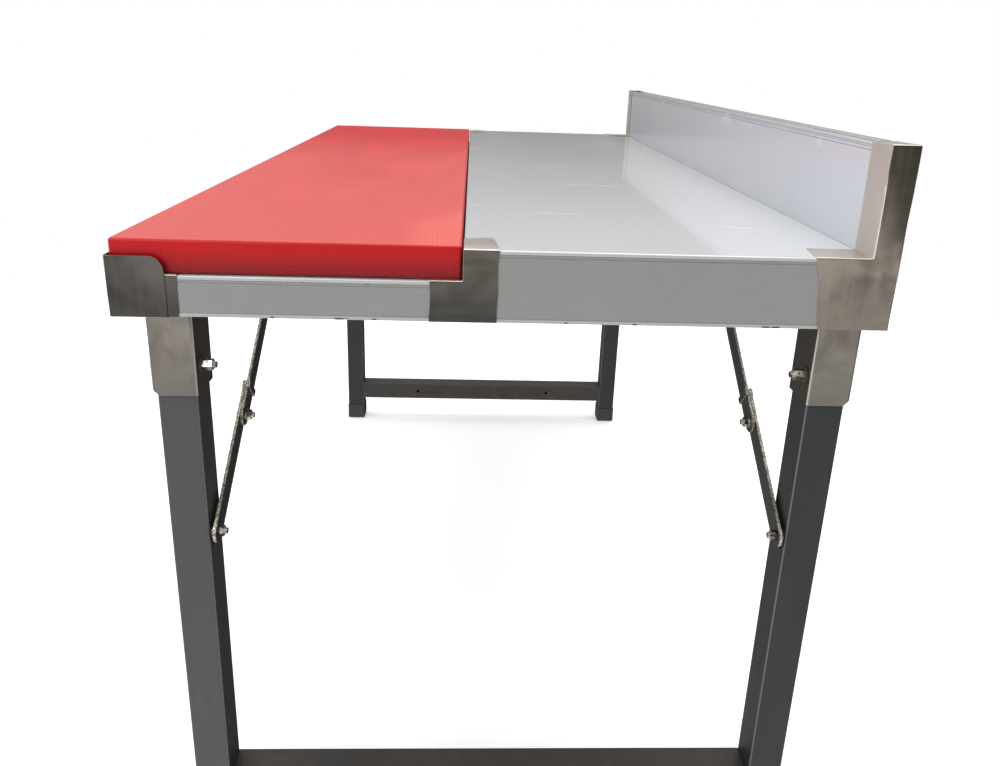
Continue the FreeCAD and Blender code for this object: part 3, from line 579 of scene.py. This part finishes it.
@dataclass(frozen=True)
class MilledBoard:
    """Red cutting-board plastic with a satin skin and the arcs of the milling cutter."""

    name: str
    body: Triple = tone(182, 17, 21)
    # A light worn-plastic tone: real scratches, and also painted sheen on the near part of the
    # top.
    worn: Triple = tone(190, 81, 75)
    deep: Triple = tone(131, 15, 21)
    ridge: Triple = tone(214, 104, 95)
    pitch: float = 0.0031
    cutter: tuple[float, float] = (0.76, -1.06)
    sweep: tuple[float, float] = (0.930, 0.973)
    fan: tuple[float, float] = (0.43, 0.52)
    fan_lean: float = 1.3
    dimple: float = 0.0006
    ridge_rise: float = 0.00012
    skin: float = 0.00003
    low_z: float = 0.8787
    high_z: float = 0.9187
    shoulder: float = 0.006

    def make(self) -> bpy.types.Material:
        """Build the material.

        Returns:
            The material.
        """
        recipe = Recipe(self.name, Metallic=0.0, IOR=1.5, Specular_IOR_Level=0.24,
                        Sheen_Weight=0.03, Sheen_Roughness=0.4)
        high, across, far = recipe.along("Z"), recipe.along("Y"), recipe.along("X")
        cloud = recipe.grain(3.0, 3.0, (0.35, 1.0, 1.0))
        top = recipe.span(recipe.facing("Z"), 0.6, 0.95)
        # Painted shade: the sides of the board darken towards its bottom edge.
        height = recipe.span(high, self.low_z, self.high_z - self.shoulder)
        tint = recipe.blend(height, self.deep, self.body)
        # Painted sheen: over the near part of the board, the top takes a pale tone in random
        # clouds.
        painted_near_sheen = recipe.calc("MULTIPLY", recipe.span(cloud, *MOST, 0.75, 1.0),
                            recipe.span(far, -0.60, 0.15, 0.0, 1.0))
        tint = recipe.blend(recipe.calc("MULTIPLY", top, painted_near_sheen), tint, self.worn)
        wide = recipe.calc("POWER", recipe.calc("SUBTRACT", far, self.cutter[0]), 2.0)
        deep = recipe.calc("POWER", recipe.calc("SUBTRACT", across, self.cutter[1]), 2.0)
        radius = recipe.calc("SQRT", recipe.calc("ADD", wide, deep))
        turn = recipe.calc("SINE", recipe.calc("MULTIPLY", radius, 2 * math.pi / self.pitch))
        swell = recipe.calc("ADD", recipe.calc("MULTIPLY", turn, 0.5), 0.5)
        slant = recipe.calc("ADD", far, recipe.calc("MULTIPLY", across, self.fan_lean))
        corner = recipe.calc("MULTIPLY", recipe.span(slant, *self.fan),
                             recipe.span(radius, *self.sweep))
        arcs = recipe.calc("MULTIPLY", recipe.calc("MULTIPLY", swell, corner), top)
        tint = recipe.blend(recipe.calc("MULTIPLY", arcs, 0.85), tint, self.ridge)
        scratch = recipe.grain(260.0, 2.0, (0.03, 1.0, 1.0), seed=4.0)
        tint = recipe.blend(recipe.span(scratch, 0.62, 0.78, 0.0, 0.25), tint, self.worn)
        patch = recipe.grain(8.0, 4.0, (0.5, 1.0, 1.0), warp=0.5, seed=12.0)
        rough = recipe.calc("ADD", recipe.span(patch, 0.42, 0.60, 0.34, 0.46),
                            recipe.calc("MULTIPLY", arcs, 0.06))
        dimple = recipe.relief(recipe.grain(9.0, 2.0, seed=2.0), self.dimple)
        ridges = recipe.relief(arcs, self.ridge_rise, dimple)
        skin = recipe.relief(recipe.grain(1400.0, 2.0, seed=6.0), self.skin, ridges)
        return recipe.surface(Base_Color=tint, Roughness=rough, Normal=skin)


@dataclass(frozen=True)
class SatinPaint:
    """Satin stove enamel on steel, a little orange-peeled, with rubbed patches, painted shade and
    a painted highlight.
    """

    name: str
    colour: Triple
    rubbed: Triple
    inner: Triple = tone(36, 34, 32)
    rim: Triple = tone(128, 131, 135)
    dull: float = 0.36
    rub: float = 0.5
    peel: float = 0.00005
    wave: float = 0.0004

    def make(self) -> bpy.types.Material:
        """Build the material.

        Returns:
            The material.
        """
        recipe = Recipe(self.name, Metallic=0.0, IOR=1.5, Specular_IOR_Level=0.35)
        cloud = recipe.grain(5.0, 3.0, (1.0, 1.0, 0.4))
        worn = recipe.grain(34.0, 4.0, (1.0, 1.0, 0.3), seed=3.0)
        tint = recipe.blend(recipe.span(cloud, *MOST, 0.0, 0.35), self.colour, self.rubbed)
        tint = recipe.blend(recipe.span(worn, 0.58, 0.72, 0.0, self.rub), tint, self.rubbed)
        # Painted shade on faces that look across at the other row of legs.
        tint = recipe.blend(recipe.calc("MULTIPLY", recipe.inward(), 0.75), tint, self.inner)
        # Painted highlight along the rounded corners.
        tint = recipe.blend(recipe.calc("MULTIPLY", recipe.bend(), 0.5), tint, self.rim)
        rough = recipe.calc("ADD", recipe.span(worn, *MOST, 0.0, 0.10),
                            recipe.span(cloud, *MOST, self.dull, self.dull + 0.08))
        peel = recipe.relief(recipe.grain(420.0, 1.0, seed=1.0), self.peel)
        wave = recipe.relief(cloud, self.wave, peel)
        return recipe.surface(Base_Color=tint, Roughness=rough, Normal=wave)


@dataclass(frozen=True)
class BlackBar:
    """Flat bar, near-black partly from painted shade, its cut edges bright from bare metal and
    painted highlight.
    """

    name: str
    colour: Triple = tone(30, 30, 31)
    browned: Triple = tone(50, 46, 41)
    sheared: Triple = tone(238, 228, 208)

    def make(self) -> bpy.types.Material:
        """Build the material.

        Returns:
            The material.
        """
        recipe = Recipe(self.name, IOR=1.5, Specular_IOR_Level=0.5)
        # Bare metal and painted highlight: the narrow cut edges take a bright tone in ragged
        # patches; the near-black of the broad faces is partly painted shade.
        edge = recipe.span(recipe.facing("Y"), 0.25, 0.75, 1.0, 0.0)
        tears = recipe.grain(420.0, 3.0, (1.0, 1.0, 0.5), seed=2.0)
        rag = recipe.span(tears, 0.42, 0.58, 0.25, 1.0)
        share = recipe.calc("MULTIPLY", edge, recipe.calc("MULTIPLY", rag, 0.9))
        cloud = recipe.grain(22.0, 3.0)
        tint = recipe.blend(recipe.span(cloud, 0.35, 0.7, 0.0, 0.5), self.colour, self.browned)
        tint = recipe.blend(share, tint, self.sheared)
        rough = recipe.span(cloud, *MOST, 0.30, 0.46)
        chip = recipe.relief(rag, 0.0001, recipe.relief(cloud, 0.0003))
        return recipe.surface(Base_Color=tint, Metallic=share, Roughness=rough, Normal=chip)


@dataclass(frozen=True)
class BrightFastener:
    """Bright stainless bolts and nuts with turned rings and finger-dulled patches."""

    name: str
    bright: Triple = tone(214, 209, 198)
    dull: Triple = tone(86, 80, 70)

    def make(self) -> bpy.types.Material:
        """Build the material.

        Returns:
            The material.
        """
        recipe = Recipe(self.name, Metallic=1.0, IOR=1.5)
        cloud = recipe.grain(160.0, 2.0)
        rings = recipe.grain(2400.0, 1.0, (0.08, 1.0, 0.08), seed=3.0)
        tint = recipe.blend(recipe.span(cloud, 0.35, 0.7), self.bright, self.dull)
        rough = recipe.calc("ADD", recipe.span(cloud, *MOST, 0.14, 0.26),
                            recipe.span(rings, *MOST, 0.0, 0.06))
        turned = recipe.relief(rings, 0.00006)
        return recipe.surface(Base_Color=tint, Roughness=rough, Normal=turned)


@dataclass(frozen=True)
class MouldedPlastic:
    """Dark moulded plastic or rubber with a fine spark-eroded texture and floor scuffs."""

    name: str
    colour: Triple = tone(50, 51, 53)
    rubbed: Triple = tone(66, 66, 67)
    scuff: Triple = tone(92, 90, 86)
    scuff_z: float = 0.012

    def make(self) -> bpy.types.Material:
        """Build the material.

        Returns:
            The material.
        """
        recipe = Recipe(self.name, Metallic=0.0, IOR=1.5, Specular_IOR_Level=0.4)
        cloud = recipe.grain(26.0, 3.0)
        low = recipe.span(recipe.along("Z"), 0.0, self.scuff_z, 0.6, 0.0)
        tint = recipe.blend(recipe.span(cloud, 0.35, 0.7, 0.0, 0.3), self.colour, self.rubbed)
        rub = recipe.calc("MULTIPLY", low, recipe.span(cloud, 0.4, 0.65))
        tint = recipe.blend(rub, tint, self.scuff)
        rough = recipe.span(cloud, *MOST, 0.48, 0.62)
        skin = recipe.relief(recipe.grain(1100.0, 2.0, seed=2.0), 0.00007)
        return recipe.surface(Base_Color=tint, Roughness=rough, Normal=skin)


@dataclass
class Workshop:
    """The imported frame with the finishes, and the jobs that every sub-assembly shares."""

    frame: dict[str, Any]
    paints: dict[str, bpy.types.Material] = field(default_factory=dict)

    def mix_paints(self) -> None:
        """Make every finish once."""
        finishes = [
            # On the steel sheets, the foot and head tones and the tones of up-facing faces, bends
            # and inner faces are painted light and shade.
            BrushedSheet("steel_corner", Brushing.UPRIGHT, light=tone(118, 114, 109),
                         dark=tone(64, 61, 57), low=tone(80, 78, 76), dent=0.0036),
            BrushedSheet("steel_step", Brushing.ACROSS, light=tone(122, 116, 108),
                         dark=tone(88, 84, 78), low=tone(69, 70, 72),
                         flange=tone(228, 219, 210)),
            # The cap's inner faces take a light painted reflection.
            BrushedSheet("steel_cap", Brushing.UPRIGHT, light=tone(174, 163, 151),
                         dark=tone(112, 106, 98), low=tone(150, 141, 131),
                         high=tone(76, 73, 64), inner=tone(180, 173, 166), inner_share=1.0,
                         inner_metal=0.4, head_z=1.0, lean=2.2, rim_share=0.8,
                         dent=0.0040),
            # The brackets' inner faces take painted shade.
            BrushedSheet("steel_bracket", Brushing.UPRIGHT, light=tone(156, 150, 141),
                         dark=tone(120, 114, 106), low=tone(128, 123, 116), inner_share=1.0,
                         inner=tone(58, 51, 42), inner_metal=0.3, foot_z=0.719, dent=0.0010),
            FacedPanel("panel_facing"),
            UpstandFace("upstand_facing"),
            EdgeSection("section_satin"),
            EdgeSection("section_under_deck", seams=(0.9105,)),
            EdgeSection("section_under_ledge", seams=(0.873,)),
            MilledBoard("board_red"),
            # Lit and shaded copies of one leg paint: painted light and shade.
            SatinPaint("leg_enamel", tone(40, 41, 43), tone(50, 50, 51)),
            SatinPaint("leg_enamel_faded", tone(72, 72, 75), tone(80, 80, 82)),
            SatinPaint("crossbar_enamel", tone(54, 51, 48), tone(76, 68, 58)),
            SatinPaint("beam_enamel", tone(150, 151, 150), tone(120, 120, 118), dull=0.42),
            BlackBar("stay_black"),
            BrightFastener("fastener_steel"),
            MouldedPlastic("foot_plastic"),
            MouldedPlastic("washer_rubber", colour=tone(62, 58, 52), scuff_z=0.001),
        ]
        for finish in finishes:
            self.paints[finish.name] = finish.make()

    def dress(self, paint: str, *nodes: str) -> None:
        """Give CAD nodes a finish.

        Args:
            paint: the finish's name.
            nodes: the names of the CAD nodes.
        """
        for name in nodes:
            piece = self.frame["nodes"][name]
            piece.data.materials.clear()
            piece.data.materials.append(self.paints[paint])
            LOG.info("%s: %s", name, paint)

    def soften(self, width: float, *nodes: str) -> None:
        """Round the hard edges of CAD nodes.

        Args:
            width: the width of the rounding, in metres.
            nodes: the names of the CAD nodes.
        """
        for name in nodes:
            round_edges(self.frame["nodes"][name], width)


def round_edges(piece: bpy.types.Object, width: float) -> None:
    """Join a piece's faces and round its hard edges with modifiers.

    Args:
        piece: the piece to round.
        width: the width of the rounding, in metres.
    """
    weld = piece.modifiers.new("join_faces", "WELD")
    weld.merge_threshold = WELD
    bevel = piece.modifiers.new("soft_edges", "BEVEL")
    bevel.width = width
    bevel.segments = 2
    bevel.limit_method = "ANGLE"
    bevel.angle_limit = HARD
    bevel.harden_normals = True


def plain_shape(source: bpy.types.Object) -> bmesh.types.BMesh:
    """Take a CAD node's shape, with its corners joined and its flat faces made whole.

    Args:
        source: the CAD node.

    Returns:
        The shape.
    """
    shape = bmesh.new()
    shape.from_mesh(source.data)
    bmesh.ops.remove_doubles(shape, verts=shape.verts, dist=ONE_POINT)
    bmesh.ops.dissolve_limit(shape, angle_limit=FLAT, verts=shape.verts, edges=shape.edges)
    return shape


def round_off(shape: bmesh.types.BMesh, edges: list[bmesh.types.BMEdge], width: float,
              clamp: bool) -> None:
    """Round some edges of a shape.

    Args:
        shape: the shape.
        edges: the edges to round.
        width: the width of the rounding, in metres.
        clamp: whether the rounding is held back where edges come close together.
    """
    bmesh.ops.bevel(shape, geom=edges, offset=width, offset_type="OFFSET", segments=4,
                    profile=0.5, affect="EDGES", clamp_overlap=clamp)


@dataclass(frozen=True)
class Sway:
    """A free edge of a sheet that was cut by hand, so that it wanders off its line."""

    edge: float
    reach: float
    swing: float
    waves: float

    def shift(self, place: Vector) -> float:
        """Find how far a point moves along Y.

        Args:
            place: the point.

        Returns:
            The shift in metres.
        """
        near = max(0.0, 1.0 - abs(place.y - self.edge) / self.reach)
        run = Vector((self.edge * 31.0, 0.4, place.z * self.waves))
        return near * self.swing * noise.noise(run) * NOISE_GAIN


@dataclass
class SheetCover:
    """One folded sheet-steel cover, beaten a little out of true around its corner."""

    node: str
    paint: str
    end: End
    beat: float = 0.0003
    grain: float = 34.0
    step: float = 0.006
    rim: float = 0.00028
    bend: float = 0.0022
    shortest: float = 0.005
    broad: float = 0.006
    square: float = 0.3
    sways: tuple[Sway, ...] = ()

    def build(self, shop: Workshop) -> None:
        """Make the worked cover in place of its plain CAD node.

        Args:
            shop: the workshop with the frame and the finishes.
        """
        source = shop.frame["nodes"][self.node]
        shape = plain_shape(source)
        self.round_bends(shape)
        self.slice_evenly(shape)
        shape.normal_update()
        moves = [self.move(vertex) for vertex in shape.verts]
        for vertex, move in zip(shape.verts, moves):
            vertex.co += move
        piece = finish_mesh(shape, f"{self.node}_worked", shop.paints[self.paint])
        round_edges(piece, self.rim)
        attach(piece, source["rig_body"])
        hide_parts(self.node)
        LOG.info("%s: worked sheet in %s", self.node, self.paint)

    def round_bends(self, shape: bmesh.types.BMesh) -> None:
        """Round each outside bend, where two broad faces of the sheet meet squarely.

        Args:
            shape: the sheet's shape.
        """
        bends = []
        for edge in shape.edges:
            if len(edge.link_faces) != 2 or edge.calc_length() < self.shortest:
                continue
            one, other = edge.link_faces
            square = abs(one.normal.dot(other.normal)) < self.square
            broad = all(face.calc_area() / max(e.calc_length() for e in face.edges) > self.broad
                        for face in (one, other))
            if square and broad and edge.is_convex:
                bends.append(edge)
        round_off(shape, bends, self.bend, clamp=False)

    def slice_evenly(self, shape: bmesh.types.BMesh) -> None:
        """Cut the sheet into small strips, so that it can bend.

        Args:
            shape: the sheet's shape.
        """
        for axis in range(3):
            low = min(vertex.co[axis] for vertex in shape.verts)
            high = max(vertex.co[axis] for vertex in shape.verts)
            count = max(1, int((high - low) / self.step))
            normal = Vector([1.0 if index == axis else 0.0 for index in range(3)])
            for cut in range(1, count):
                spot = normal * (low + (high - low) * cut / count)
                parts = shape.verts[:] + shape.edges[:] + shape.faces[:]
                bmesh.ops.bisect_plane(shape, geom=parts, plane_co=spot, plane_no=normal)

    def move(self, vertex: bmesh.types.BMVert) -> Vector:
        """Find how far one point of the sheet is beaten out of place.

        Args:
            vertex: the point.

        Returns:
            The move in metres.
        """
        place, normal = vertex.co, vertex.normal
        beat = noise.noise(place * self.grain + Vector((7.1, 2.3, 4.9))) * self.beat
        outward = Vector((self.end.value, 1.0 if place.y > 0.2 else -1.0, 1.0))
        move = Vector([abs(normal[i]) * outward[i] * beat for i in range(3)])
        move.y += sum(sway.shift(place) for sway in self.sways)
        return move


def finish_mesh(shape: bmesh.types.BMesh, name: str,
                paint: bpy.types.Material) -> bpy.types.Object:
    """Turn a shape into a piece in the scene.

    Args:
        shape: the shape, which is used up.
        name: the piece's name.
        paint: its finish.

    Returns:
        The piece.
    """
    mesh = bpy.data.meshes.new(name)
    shape.to_mesh(mesh)
    shape.free()
    mesh.materials.append(paint)
    mesh.shade_smooth()
    mesh.set_sharp_from_angle(angle=SMOOTH)
    piece = bpy.data.objects.new(name, mesh)
    bpy.context.scene.collection.objects.link(piece)
    return piece


@dataclass
class Covers:
    """The folded steel covers at one end: two at the front corner, one on the step, one cap."""

    end: End
    liner: Sway = Sway(edge=-0.375, reach=0.014, swing=0.0016, waves=46.0)
    step_front: Sway = Sway(edge=-0.090, reach=0.010, swing=0.0008, waves=30.0)
    step_rear: Sway = Sway(edge=-0.011, reach=0.016, swing=0.0020, waves=42.0)
    cap: Sway = Sway(edge=0.354, reach=0.020, swing=0.0016, waves=24.0)

    def build(self, shop: Workshop) -> None:
        """Make the end's four covers.

        Args:
            shop: the workshop with the frame and the finishes.
        """
        word = self.end.word
        SheetCover(f"corner_liner_{word}", "steel_corner", self.end, beat=0.0002,
                   sways=(self.liner,)).build(shop)
        SheetCover(f"corner_stop_{word}", "steel_corner", self.end, beat=0.0005).build(shop)
        SheetCover(f"step_cover_{word}", "steel_step", self.end,
                   sways=(self.step_front, self.step_rear)).build(shop)
        SheetCover(f"upstand_cap_{word}", "steel_cap", self.end, beat=0.0006, grain=26.0,
                   sways=(self.cap,)).build(shop)


@dataclass
class CuttingBoard:
    """The lift-off red board."""

    node: str = "cutting_board"
    rounding: float = 0.0018
    turn: float = 0.5

    def build(self, shop: Workshop) -> None:
        """Make the board with rounded edges in place of its sharp CAD node.

        Args:
            shop: the workshop with the frame and the finishes.
        """
        source = shop.frame["nodes"][self.node]
        shape = plain_shape(source)
        sharp = [edge for edge in shape.edges
                 if len(edge.link_faces) == 2 and edge.calc_face_angle() > self.turn]
        round_off(shape, sharp, self.rounding, clamp=True)
        piece = finish_mesh(shape, f"{self.node}_rounded", shop.paints["board_red"])
        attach(piece, source["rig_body"])
        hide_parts(self.node)
        LOG.info("%s: rounded, board_red", self.node)


@dataclass
class Worktop:
    """The stepped top: two faced panels, the sections round them and the beams below."""

    lip: float = 0.0009
    sharp: float = 0.0003

    def build(self, shop: Workshop) -> None:
        """Dress the top.

        Args:
            shop: the workshop with the frame and the finishes.
        """
        shop.dress("panel_facing", "deck_panel", "ledge_panel")
        under_deck = ["rear_rail"] + [f"deck_apron_{end.word}" for end in End]
        under_ledge = ["front_rail"] + [f"ledge_apron_{end.word}" for end in End]
        shop.dress("section_satin", "step_riser")
        shop.dress("section_under_deck", *under_deck)
        shop.dress("section_under_ledge", *under_ledge)
        sections = ["step_riser", *under_deck, *under_ledge]
        beams = ["deck_stringer"]
        beams += [f"{kind}_beam_{end.word}" for kind in ("leg", "stay") for end in End]
        shop.dress("beam_enamel", *beams)
        shop.soften(self.lip, "deck_panel", "ledge_panel")
        shop.soften(self.sharp, *sections, *beams)


@dataclass
class Upstand:
    """The hollow section that stands along the rear edge."""

    node: str = "upstand_profile"
    rounding: float = 0.0007

    def build(self, shop: Workshop) -> None:
        """Dress the upstand."""
        shop.dress("upstand_facing", self.node)
        shop.soften(self.rounding, self.node)


@dataclass
class LegPair:
    """The two legs of one end with their brackets, crossbar and foot caps."""

    end: End
    edge: float = 0.0006

    def build(self, shop: Workshop) -> None:
        """Dress the leg pair. Painted light: the front leg at the right end takes a lit copy of
        the leg paint, the others a shaded copy.

        Args:
            shop: the workshop with the frame and the finishes.
        """
        word = self.end.word
        rows = [row.word for row in Row]
        legs = [f"leg_{word}_{row}" for row in rows]
        brackets = [f"leg_bracket_{word}_{row}" for row in rows]
        feet = [f"foot_{word}_{row}" for row in rows]
        shop.dress("leg_enamel", *legs)
        # Painted light: the lighter copy of the leg paint goes on the front leg at the right end.
        if self.end is End.RIGHT:
            shop.dress("leg_enamel_faded", legs[0])
        shop.dress("steel_bracket", *brackets)
        shop.dress("foot_plastic", *feet)
        shop.dress("crossbar_enamel", f"crossbar_{word}")
        shop.soften(self.edge, *brackets, f"crossbar_{word}")


@dataclass
class Stays:
    """The two-bar stays of one end."""

    end: End
    edge: float = 0.0005

    def build(self, shop: Workshop) -> None:
        """Dress the bars.

        Args:
            shop: the workshop with the frame and the finishes.
        """
        bars = [f"{part}_bar_{self.end.word}_{row.word}"
                for part in ("lower", "upper") for row in Row]
        shop.dress("stay_black", *bars)
        shop.soften(self.edge, *bars)


@dataclass
class Fasteners:
    """All bolts, nuts and washers. The pivot nuts and the washers keep their plain edges."""

    edge: float = 0.0005

    def build(self, shop: Workshop) -> None:
        """Dress the fasteners.

        Args:
            shop: the workshop with the frame and the finishes.
        """
        bright = ["pivot_bolts", "pivot_nuts", "stay_top_bolts"]
        bright += [f"stay_foot_bolts_{end.word}" for end in End]
        bright += [f"knee_{kind}_{end.word}_{row.word}"
                   for kind in ("bolt", "nut") for end in End for row in Row]
        shop.dress("fastener_steel", *bright)
        shop.dress("washer_rubber", "pivot_washers")
        shop.soften(self.edge, *[name for name in bright if name != "pivot_nuts"])


@dataclass(frozen=True)
class Fade:
    """A smooth fade: the values where it begins and ends, and the numbers there."""

    low: float
    high: float
    start: float = 0.0
    stop: float = 1.0


@dataclass(frozen=True)
class Lamp:
    """A rectangular soft lamp: its place, the point it shines at, its size and its power."""

    name: str
    place: Triple
    aim: Triple
    size: tuple[float, float]
    watts: float

    def hang(self) -> None:
        """Hang the lamp and turn it towards its point."""
        lamp = bpy.data.lights.new(self.name, "AREA")
        lamp.shape = "RECTANGLE"
        lamp.size, lamp.size_y = self.size
        lamp.energy = self.watts
        thing = bpy.data.objects.new(self.name, lamp)
        bpy.context.scene.collection.objects.link(thing)
        thing.location = self.place
        away = Vector(self.aim) - Vector(self.place)
        thing.rotation_euler = away.to_track_quat("-Z", "Y").to_euler()


@dataclass
class Studio:
    """A pale round floor, soft light and the camera."""

    floor_radius: float = 3.1
    floor_drop: float = 0.0006
    floor_glow: float = 0.35
    sky_lean: float = -0.75
    below: Fade = Fade(-0.9, 0.4, 0.10, 0.95)
    around: Fade = Fade(-0.8, -0.1, 0.80, 0.21)
    horizon: Fade = Fade(-0.15, 0.02)
    zenith: Fade = Fade(0.20, 0.85)
    overhead: float = 1.05
    backdrop: float = 1.0
    softbox: Lamp = Lamp("overhead_softbox", place=(-0.2, 0.0, 3.3), aim=(0.0, 0.0, 0.9),
                         size=(3.4, 2.6), watts=70.0)
    strip: Lamp = Lamp("near_strip", place=(2.6, -1.6, 2.3), aim=(0.6, 0.0, 0.9),
                       size=(1.6, 0.9), watts=22.0)
    lens: float = 27.58
    sensor: float = 36.0
    nearest: float = 0.01
    shift: float = -0.098
    eye: Triple = (1.58915, -0.04563, 1.12219)
    yaw: float = 2.43
    pitch: float = 16.41
    roll: float = -1.93

    def build(self) -> None:
        """Set up the studio."""
        self.lay_floor()
        self.light_sky()
        self.softbox.hang()
        self.strip.hang()
        self.place_camera()

    def lay_floor(self) -> None:
        """Lay a pale, faintly mottled floor disc."""
        recipe = Recipe("studio_floor", Metallic=0.0, Specular_IOR_Level=0.2)
        cloud = recipe.grain(1.5, 2.0)
        tint = recipe.blend(recipe.span(cloud, *MOST), tone(250, 250, 250), tone(247, 247, 247))
        recipe.feed(recipe.shader.inputs["Emission Color"], tint)
        recipe.shader.inputs["Emission Strength"].default_value = self.floor_glow
        paint = recipe.surface(Base_Color=tint, Roughness=recipe.span(cloud, *MOST, 0.7, 0.8))
        shape = bmesh.new()
        bmesh.ops.create_circle(shape, cap_ends=True, segments=96, radius=self.floor_radius)
        floor = finish_mesh(shape, "studio_floor", paint)
        floor.location.z = -self.floor_drop
        floor.visible_glossy = False

    def light_sky(self) -> None:
        """Surround the scene with soft light: bright above and in front, dark far below."""
        world = bpy.data.worlds.new("studio_sky")
        bpy.context.scene.world = world
        world.use_nodes = True
        tree = world.node_tree
        tree.nodes.clear()
        where = tree.nodes.new("ShaderNodeTexCoord")
        parts = tree.nodes.new("ShaderNodeSeparateXYZ")
        tree.links.new(where.outputs["Generated"], parts.inputs[0])
        lean = tree.nodes.new("ShaderNodeMath")
        lean.operation = "MULTIPLY_ADD"
        tree.links.new(parts.outputs["Y"], lean.inputs[0])
        lean.inputs[1].default_value = self.sky_lean
        tree.links.new(parts.outputs["X"], lean.inputs[2])
        below = self.fade(tree, lean.outputs[0], self.below)
        around = self.fade(tree, parts.outputs["Y"], self.around)
        upper = self.fade(tree, parts.outputs["Z"], self.horizon)
        level = self.layer(tree, upper, below, around)
        crown = self.fade(tree, parts.outputs["Z"], self.zenith)
        level = self.layer(tree, crown, level, self.overhead)
        seen = tree.nodes.new("ShaderNodeLightPath")
        strength = self.layer(tree, seen.outputs["Is Camera Ray"], level, self.backdrop)
        background = tree.nodes.new("ShaderNodeBackground")
        background.inputs["Color"].default_value = (1.0, 1.0, 1.0, 1.0)
        tree.links.new(strength, background.inputs["Strength"])
        output = tree.nodes.new("ShaderNodeOutputWorld")
        tree.links.new(background.outputs[0], output.inputs["Surface"])
        bpy.context.scene.view_settings.view_transform = "Standard"

    @staticmethod
    def fade(tree: bpy.types.NodeTree, value: bpy.types.NodeSocket,
             spread: Fade) -> bpy.types.NodeSocket:
        """Add a fade to the sky.

        Args:
            tree: the sky's nodes.
            value: what the fade follows.
            spread: its limits and numbers.

        Returns:
            The faded number.
        """
        node = tree.nodes.new("ShaderNodeMapRange")
        node.interpolation_type = "SMOOTHSTEP"
        tree.links.new(value, node.inputs[0])
        numbers = (spread.low, spread.high, spread.start, spread.stop)
        for socket, number in zip(node.inputs[1:5], numbers):
            socket.default_value = number
        return node.outputs[0]

    @staticmethod
    def layer(tree: bpy.types.NodeTree, share: bpy.types.NodeSocket, first: bpy.types.NodeSocket,
              second: Union[float, bpy.types.NodeSocket]) -> bpy.types.NodeSocket:
        """Mix two brightnesses.

        Args:
            tree: the sky's nodes.
            share: the share of the second brightness.
            first: the first brightness.
            second: the second brightness.

        Returns:
            The mixed brightness.
        """
        node = tree.nodes.new("ShaderNodeMix")
        tree.links.new(share, node.inputs[0])
        tree.links.new(first, node.inputs[2])
        if isinstance(second, float):
            node.inputs[3].default_value = second
        else:
            tree.links.new(second, node.inputs[3])
        return node.outputs[0]

    def place_camera(self) -> None:
        """Set the camera beyond the near end, looking along the table and a little down."""
        yaw, pitch, roll = (math.radians(angle) for angle in (self.yaw, self.pitch, self.roll))
        ahead = Vector((-math.cos(pitch) * math.cos(yaw), math.cos(pitch) * math.sin(yaw),
                        -math.sin(pitch)))
        level = Vector((math.sin(yaw), math.cos(yaw), 0.0))
        down = ahead.cross(level)
        right = level * math.cos(roll) + down * math.sin(roll)
        fall = down * math.cos(roll) - level * math.sin(roll)
        turned = Matrix((right, -fall, -ahead)).transposed().to_4x4()
        lens = bpy.data.cameras.new("table_lens")
        lens.lens = self.lens
        lens.sensor_width = self.sensor
        lens.shift_y = self.shift
        lens.clip_start = self.nearest
        camera = bpy.data.objects.new("camera", lens)
        camera.matrix_world = Matrix.Translation(self.eye) @ turned
        bpy.context.scene.collection.objects.link(camera)
        bpy.context.scene.camera = camera


class Assembly(Protocol):
    """A group of pieces that are made or dressed together."""

    def build(self, shop: Workshop) -> None:
        """Make or dress the pieces."""


def main() -> None:
    """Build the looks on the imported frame."""
    logging.basicConfig(level=logging.INFO, format="%(message)s")
    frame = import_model()
    shop = Workshop(frame)
    shop.mix_paints()
    assemblies: list[Assembly] = [Worktop(), Upstand(), CuttingBoard(), Fasteners()]
    for end in End:
        assemblies += [Covers(end), LegPair(end), Stays(end)]
    for assembly in assemblies:
        assembly.build(shop)
        LOG.info("built %s", type(assembly).__name__)
    Studio().build()


if __name__ == "__main__":
    main()
